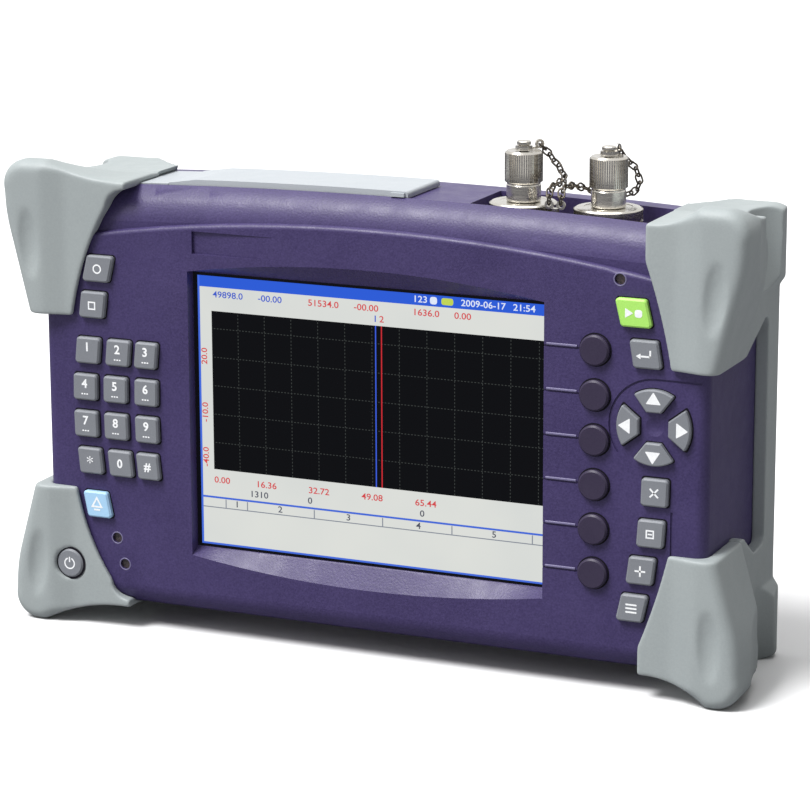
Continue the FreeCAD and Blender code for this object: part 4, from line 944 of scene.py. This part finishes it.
def keyShadeRing(node, width, faceY):
    # painted shade: a dark ring that stands in for the shadowed gap round a key, read off the key's own
    # outline where it leaves its face
    low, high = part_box(node)
    middle = (low + high) / 2
    shadeRing = nodeCopy(node)
    shadeRing.name = node + "_rim"
    editAll()
    bpy.ops.mesh.bisect(plane_co=(0.0, faceY, 0.0), plane_no=(0.0, 1.0, 0.0),
                        clear_inner=True, clear_outer=True)
    bpy.ops.mesh.select_all(action="SELECT")
    inner, outer = (1.0 + wide / (high.x - low.x) for wide in (shadeRingLook["gap"], width))
    bpy.ops.transform.resize(value=(inner, 1.0, inner), center_override=middle)
    bpy.ops.mesh.extrude_edges_move()
    bpy.ops.transform.resize(value=(outer, 1.0, outer), center_override=middle)
    bpy.ops.mesh.select_all(action="SELECT")
    bpy.ops.mesh.extrude_region_move(TRANSFORM_OT_translate={"value": (0.0, shadeRingLook["thickness"], 0.0)})
    endEdit()
    outward(shadeRing)
    finished(shadeRing, "case", finishes["key_gap_shade"], crispAngle)


# every key gets a ring of painted shade in its gap
for node in frame["nodes"]:
    if node == "power_key":
        keyShadeRing(node, shadeRingLook["wide"], shadeRingLook["boot"])
    elif "_key" in node:
        keyShadeRing(node, shadeRingLook["width"], shadeRingLook["panel"])

ribLook = {
    "keys": 6,
    "start": 0.0680,
    "clear": 0.0005,
    "height": 0.0008,
    "proud": 0.0003,
    "above": 0.0007,
    "edge": 0.7,  # share of proud
    "smooth": 40.0,
}


def softRib(index):
    # a low rib that leads from the screen to a soft key, in paler plastic as a painted highlight on its
    # lit top
    low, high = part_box("soft_key_%d" % index)
    length = low.x - ribLook["clear"] - ribLook["start"]
    bpy.ops.mesh.primitive_cube_add(size=1.0, location=(0.0, 0.0, 0.0))
    rib = bpy.context.object
    rib.name = "soft_rib_%d" % index
    rib.scale = (length, ribLook["proud"] * 2, ribLook["height"])
    rib.location = (ribLook["start"] + length / 2, panelFace, (low.z + high.z) / 2 + ribLook["above"])
    settle(rib)
    pickEdges(rib, lambda one, other: abs(one.x - other.x) > length / 2 and one.y < panelFace)
    bpy.ops.mesh.bevel(offset=ribLook["proud"] * ribLook["edge"], segments=3)
    endEdit()
    finished(rib, "case", finishes["rib_highlight_plastic"], ribLook["smooth"])


for index in range(ribLook["keys"]):
    softRib(index + 1)

lightLook = {
    "radius": 0.0021,
    "wire": 0.00022,
    "flat": 0.5,
    "sunk": 0.00005,  # how deep in the panel the lip is cut off
    "smooth": 60.0,
    "places": [(-0.0974, 0.0335), (-0.0944, 0.0240), (0.0937, 0.1433)],
}


def lightRing(name, x, z):
    # the rounded lip of a status light's hole, in paler plastic as a painted glint ring
    bpy.ops.mesh.primitive_torus_add(major_segments=40, minor_segments=10,
                                     major_radius=lightLook["radius"], minor_radius=lightLook["wire"])
    ring = bpy.context.object
    ring.name = name
    ring.scale = (1.0, 1.0, lightLook["flat"])
    ring.rotation_euler = (math.radians(90), 0.0, 0.0)
    ring.location = (x, panelFace, z)
    settle(ring)
    editAll()
    bpy.ops.mesh.bisect(plane_co=(0.0, panelFace + lightLook["sunk"], 0.0), plane_no=(0.0, 1.0, 0.0),
                        clear_outer=True)
    bpy.ops.mesh.bridge_edge_loops()
    endEdit()
    finished(ring, "case", finishes["rib_highlight_plastic"], lightLook["smooth"])


for index, (x, z) in enumerate(lightLook["places"]):
    lightRing("light_ring_%d" % (index + 1), x, z)
print("panel trimmed")

screenLook = {
    "face": -0.0260,
    "middle": 0.0829,
    "size": 0.0032,
    "squeeze": 1.15,
    "upright": (90, 1.1),  # turn and squeeze of the figures that stand along the left edge
}
screenRows = {
    # words, left end and middle height in millimetres from the screen's middle, turn and squeeze
    "screen_red_figures": (screenRed, [
        ("20.0", -63.0, 19.8, *screenLook["upright"]), ("-10.0", -63.0, -0.5, *screenLook["upright"]),
        ("-40.0", -63.0, -16.8, *screenLook["upright"]),
        ("0.00", -60.0, -24.9), ("16.36", -43.5, -24.9), ("32.72", -23.0, -24.9),
        ("49.08", -2.5, -24.9), ("65.44", 17.8, -24.9),
        ("51534.0", -22.5, 42.2), ("-00.00", -5.0, 42.2), ("1636.0", 17.1, 42.2), ("0.00", 32.5, 42.2),
        ("2", 4.6, 38.6),
    ]),
    "screen_blue_figures": (screenBlue, [
        ("49898.0", -59.4, 42.2), ("-00.00", -41.8, 42.2), ("1", 2.2, 38.6),
    ]),
    "screen_grey_figures": (screenGrey, [
        ("1310", -46.0, -28.7), ("0", -23.3, -28.7), ("0", 19.6, -28.7),
        ("1", -52.0, -33.2), ("2", -35.0, -33.2), ("3", -8.5, -33.2), ("4", 18.2, -33.2),
        ("5", 46.5, -33.2),
    ]),
    "screen_white_figures": (screenWhite, [
        ("123", 17.2, 46.8), ("2009-06-17", 35.0, 46.8, 0, 1.10), ("21:54", 54.0, 46.8),
    ]),
}
screenBadges = {
    # badge: material, and place, length and width of its bar
    "screen_battery": (screenYellow, (0.0300, 0.0468, 0.0044, 0.0024)),
    "screen_icon": (screenWhite, (0.0249, 0.0468, 0.0026, 0.0026)),
}


def screenWords(words, x, z, turn=0, squeeze=screenLook["squeeze"]):
    align = "CENTER" if turn else "LEFT"
    return figures(words, screenLook["size"], x / 1000, z / 1000, turn, align, squeeze)


def onScreen(parts, name, material):
    placedFlat(parts, name, 0.0, screenLook["face"], screenLook["middle"],
               "case", material)


for name, (material, rows) in screenRows.items():
    onScreen([screenWords(*row) for row in rows], name, material)
for name, (material, bar) in screenBadges.items():
    onScreen([stroke(*bar)], name, material)
print("screen lit")

studioLook = {
    "air": 0.20,
    "aim": (0.0, 0.0, 0.09),
    # place, spread in degrees, power
    "sun": ((-0.36, -0.52, 0.95), 25.0, 3.6),
    # place, size, power
    "top": ((-0.1, -0.1, 1.5), 1.5, 16.0),
    "side": ((-1.4, -1.3, 0.9), 0.9, 5.0),
}
floorLook = {
    "size": 24.0,
    "seen": shade(250, 250, 250),
    "secondSeen": shade(247, 247, 248),
    "mirrored": shade(96, 96, 100),
    "other": shade(168, 168, 170),  # seen it is white, yet it throws less light back up
    "cloud": 1.3,
    "grain": 60.0,
    "roughness": (0.85, 0.95),
}


def floorFinish(look):
    made = Finish("studio_floor", Specular_IOR_Level=0.1)
    cloud = made.spread(made.noise(look["cloud"]), 0.0, 1.0)
    seen = made.node("ShaderNodeLightPath", {}, {}, "Is Camera Ray")
    mirrored = made.node("ShaderNodeLightPath", {}, {}, "Is Glossy Ray")
    pale = made.mix(cloud, look["seen"], look["secondSeen"])
    back = made.mix(mirrored, look["other"], look["mirrored"])
    made.feed("Base Color", made.mix(seen, back, pale))
    made.feed("Roughness", made.spread(made.noise(look["grain"]), *look["roughness"]))
    return made.material


def addFloor(look):
    bpy.ops.mesh.primitive_plane_add(size=look["size"], location=(0.0, 0.0, cadLow.z))
    floor = bpy.context.object
    floor.name = "studio_floor"
    floor.data.materials.append(floorFinish(look))


def addAir(strength):
    # full white where it is seen or mirrored, and only a little light from it
    world = bpy.data.worlds.new("studio_air")
    world.use_nodes = True
    tree = world.node_tree
    back = tree.nodes["Background"]
    back.inputs["Color"].default_value = (1.0, 1.0, 1.0, 1.0)
    rays = tree.nodes.new("ShaderNodeLightPath")
    seen = tree.nodes.new("ShaderNodeMath")
    seen.operation = "MAXIMUM"
    level = tree.nodes.new("ShaderNodeMapRange")
    level.inputs["To Min"].default_value = strength
    level.inputs["To Max"].default_value = 1.0
    tree.links.new(rays.outputs["Is Camera Ray"], seen.inputs[0])
    tree.links.new(rays.outputs["Is Glossy Ray"], seen.inputs[1])
    tree.links.new(seen.outputs["Value"], level.inputs["Value"])
    tree.links.new(level.outputs["Result"], back.inputs["Strength"])
    bpy.context.scene.world = world


def addLamp(kind, name, place, target):
    bpy.ops.object.light_add(type=kind, location=place)
    lamp = bpy.context.object
    lamp.name = name
    lamp.rotation_euler = aimed(place, target).to_euler()
    return lamp.data


addFloor(floorLook)
addAir(studioLook["air"])
sunPlace, sunSpread, sunPower = studioLook["sun"]
sun = addLamp("SUN", "lamp_sun", sunPlace, (0.0, 0.0, 0.0))
sun.angle = math.radians(sunSpread)
sun.energy = sunPower
for name in ("top", "side"):
    place, size, power = studioLook[name]
    panel = addLamp("AREA", "lamp_" + name, place, studioLook["aim"])
    panel.size = size
    panel.energy = power
bpy.context.scene.view_settings.view_transform = "Standard"
print("studio lit")
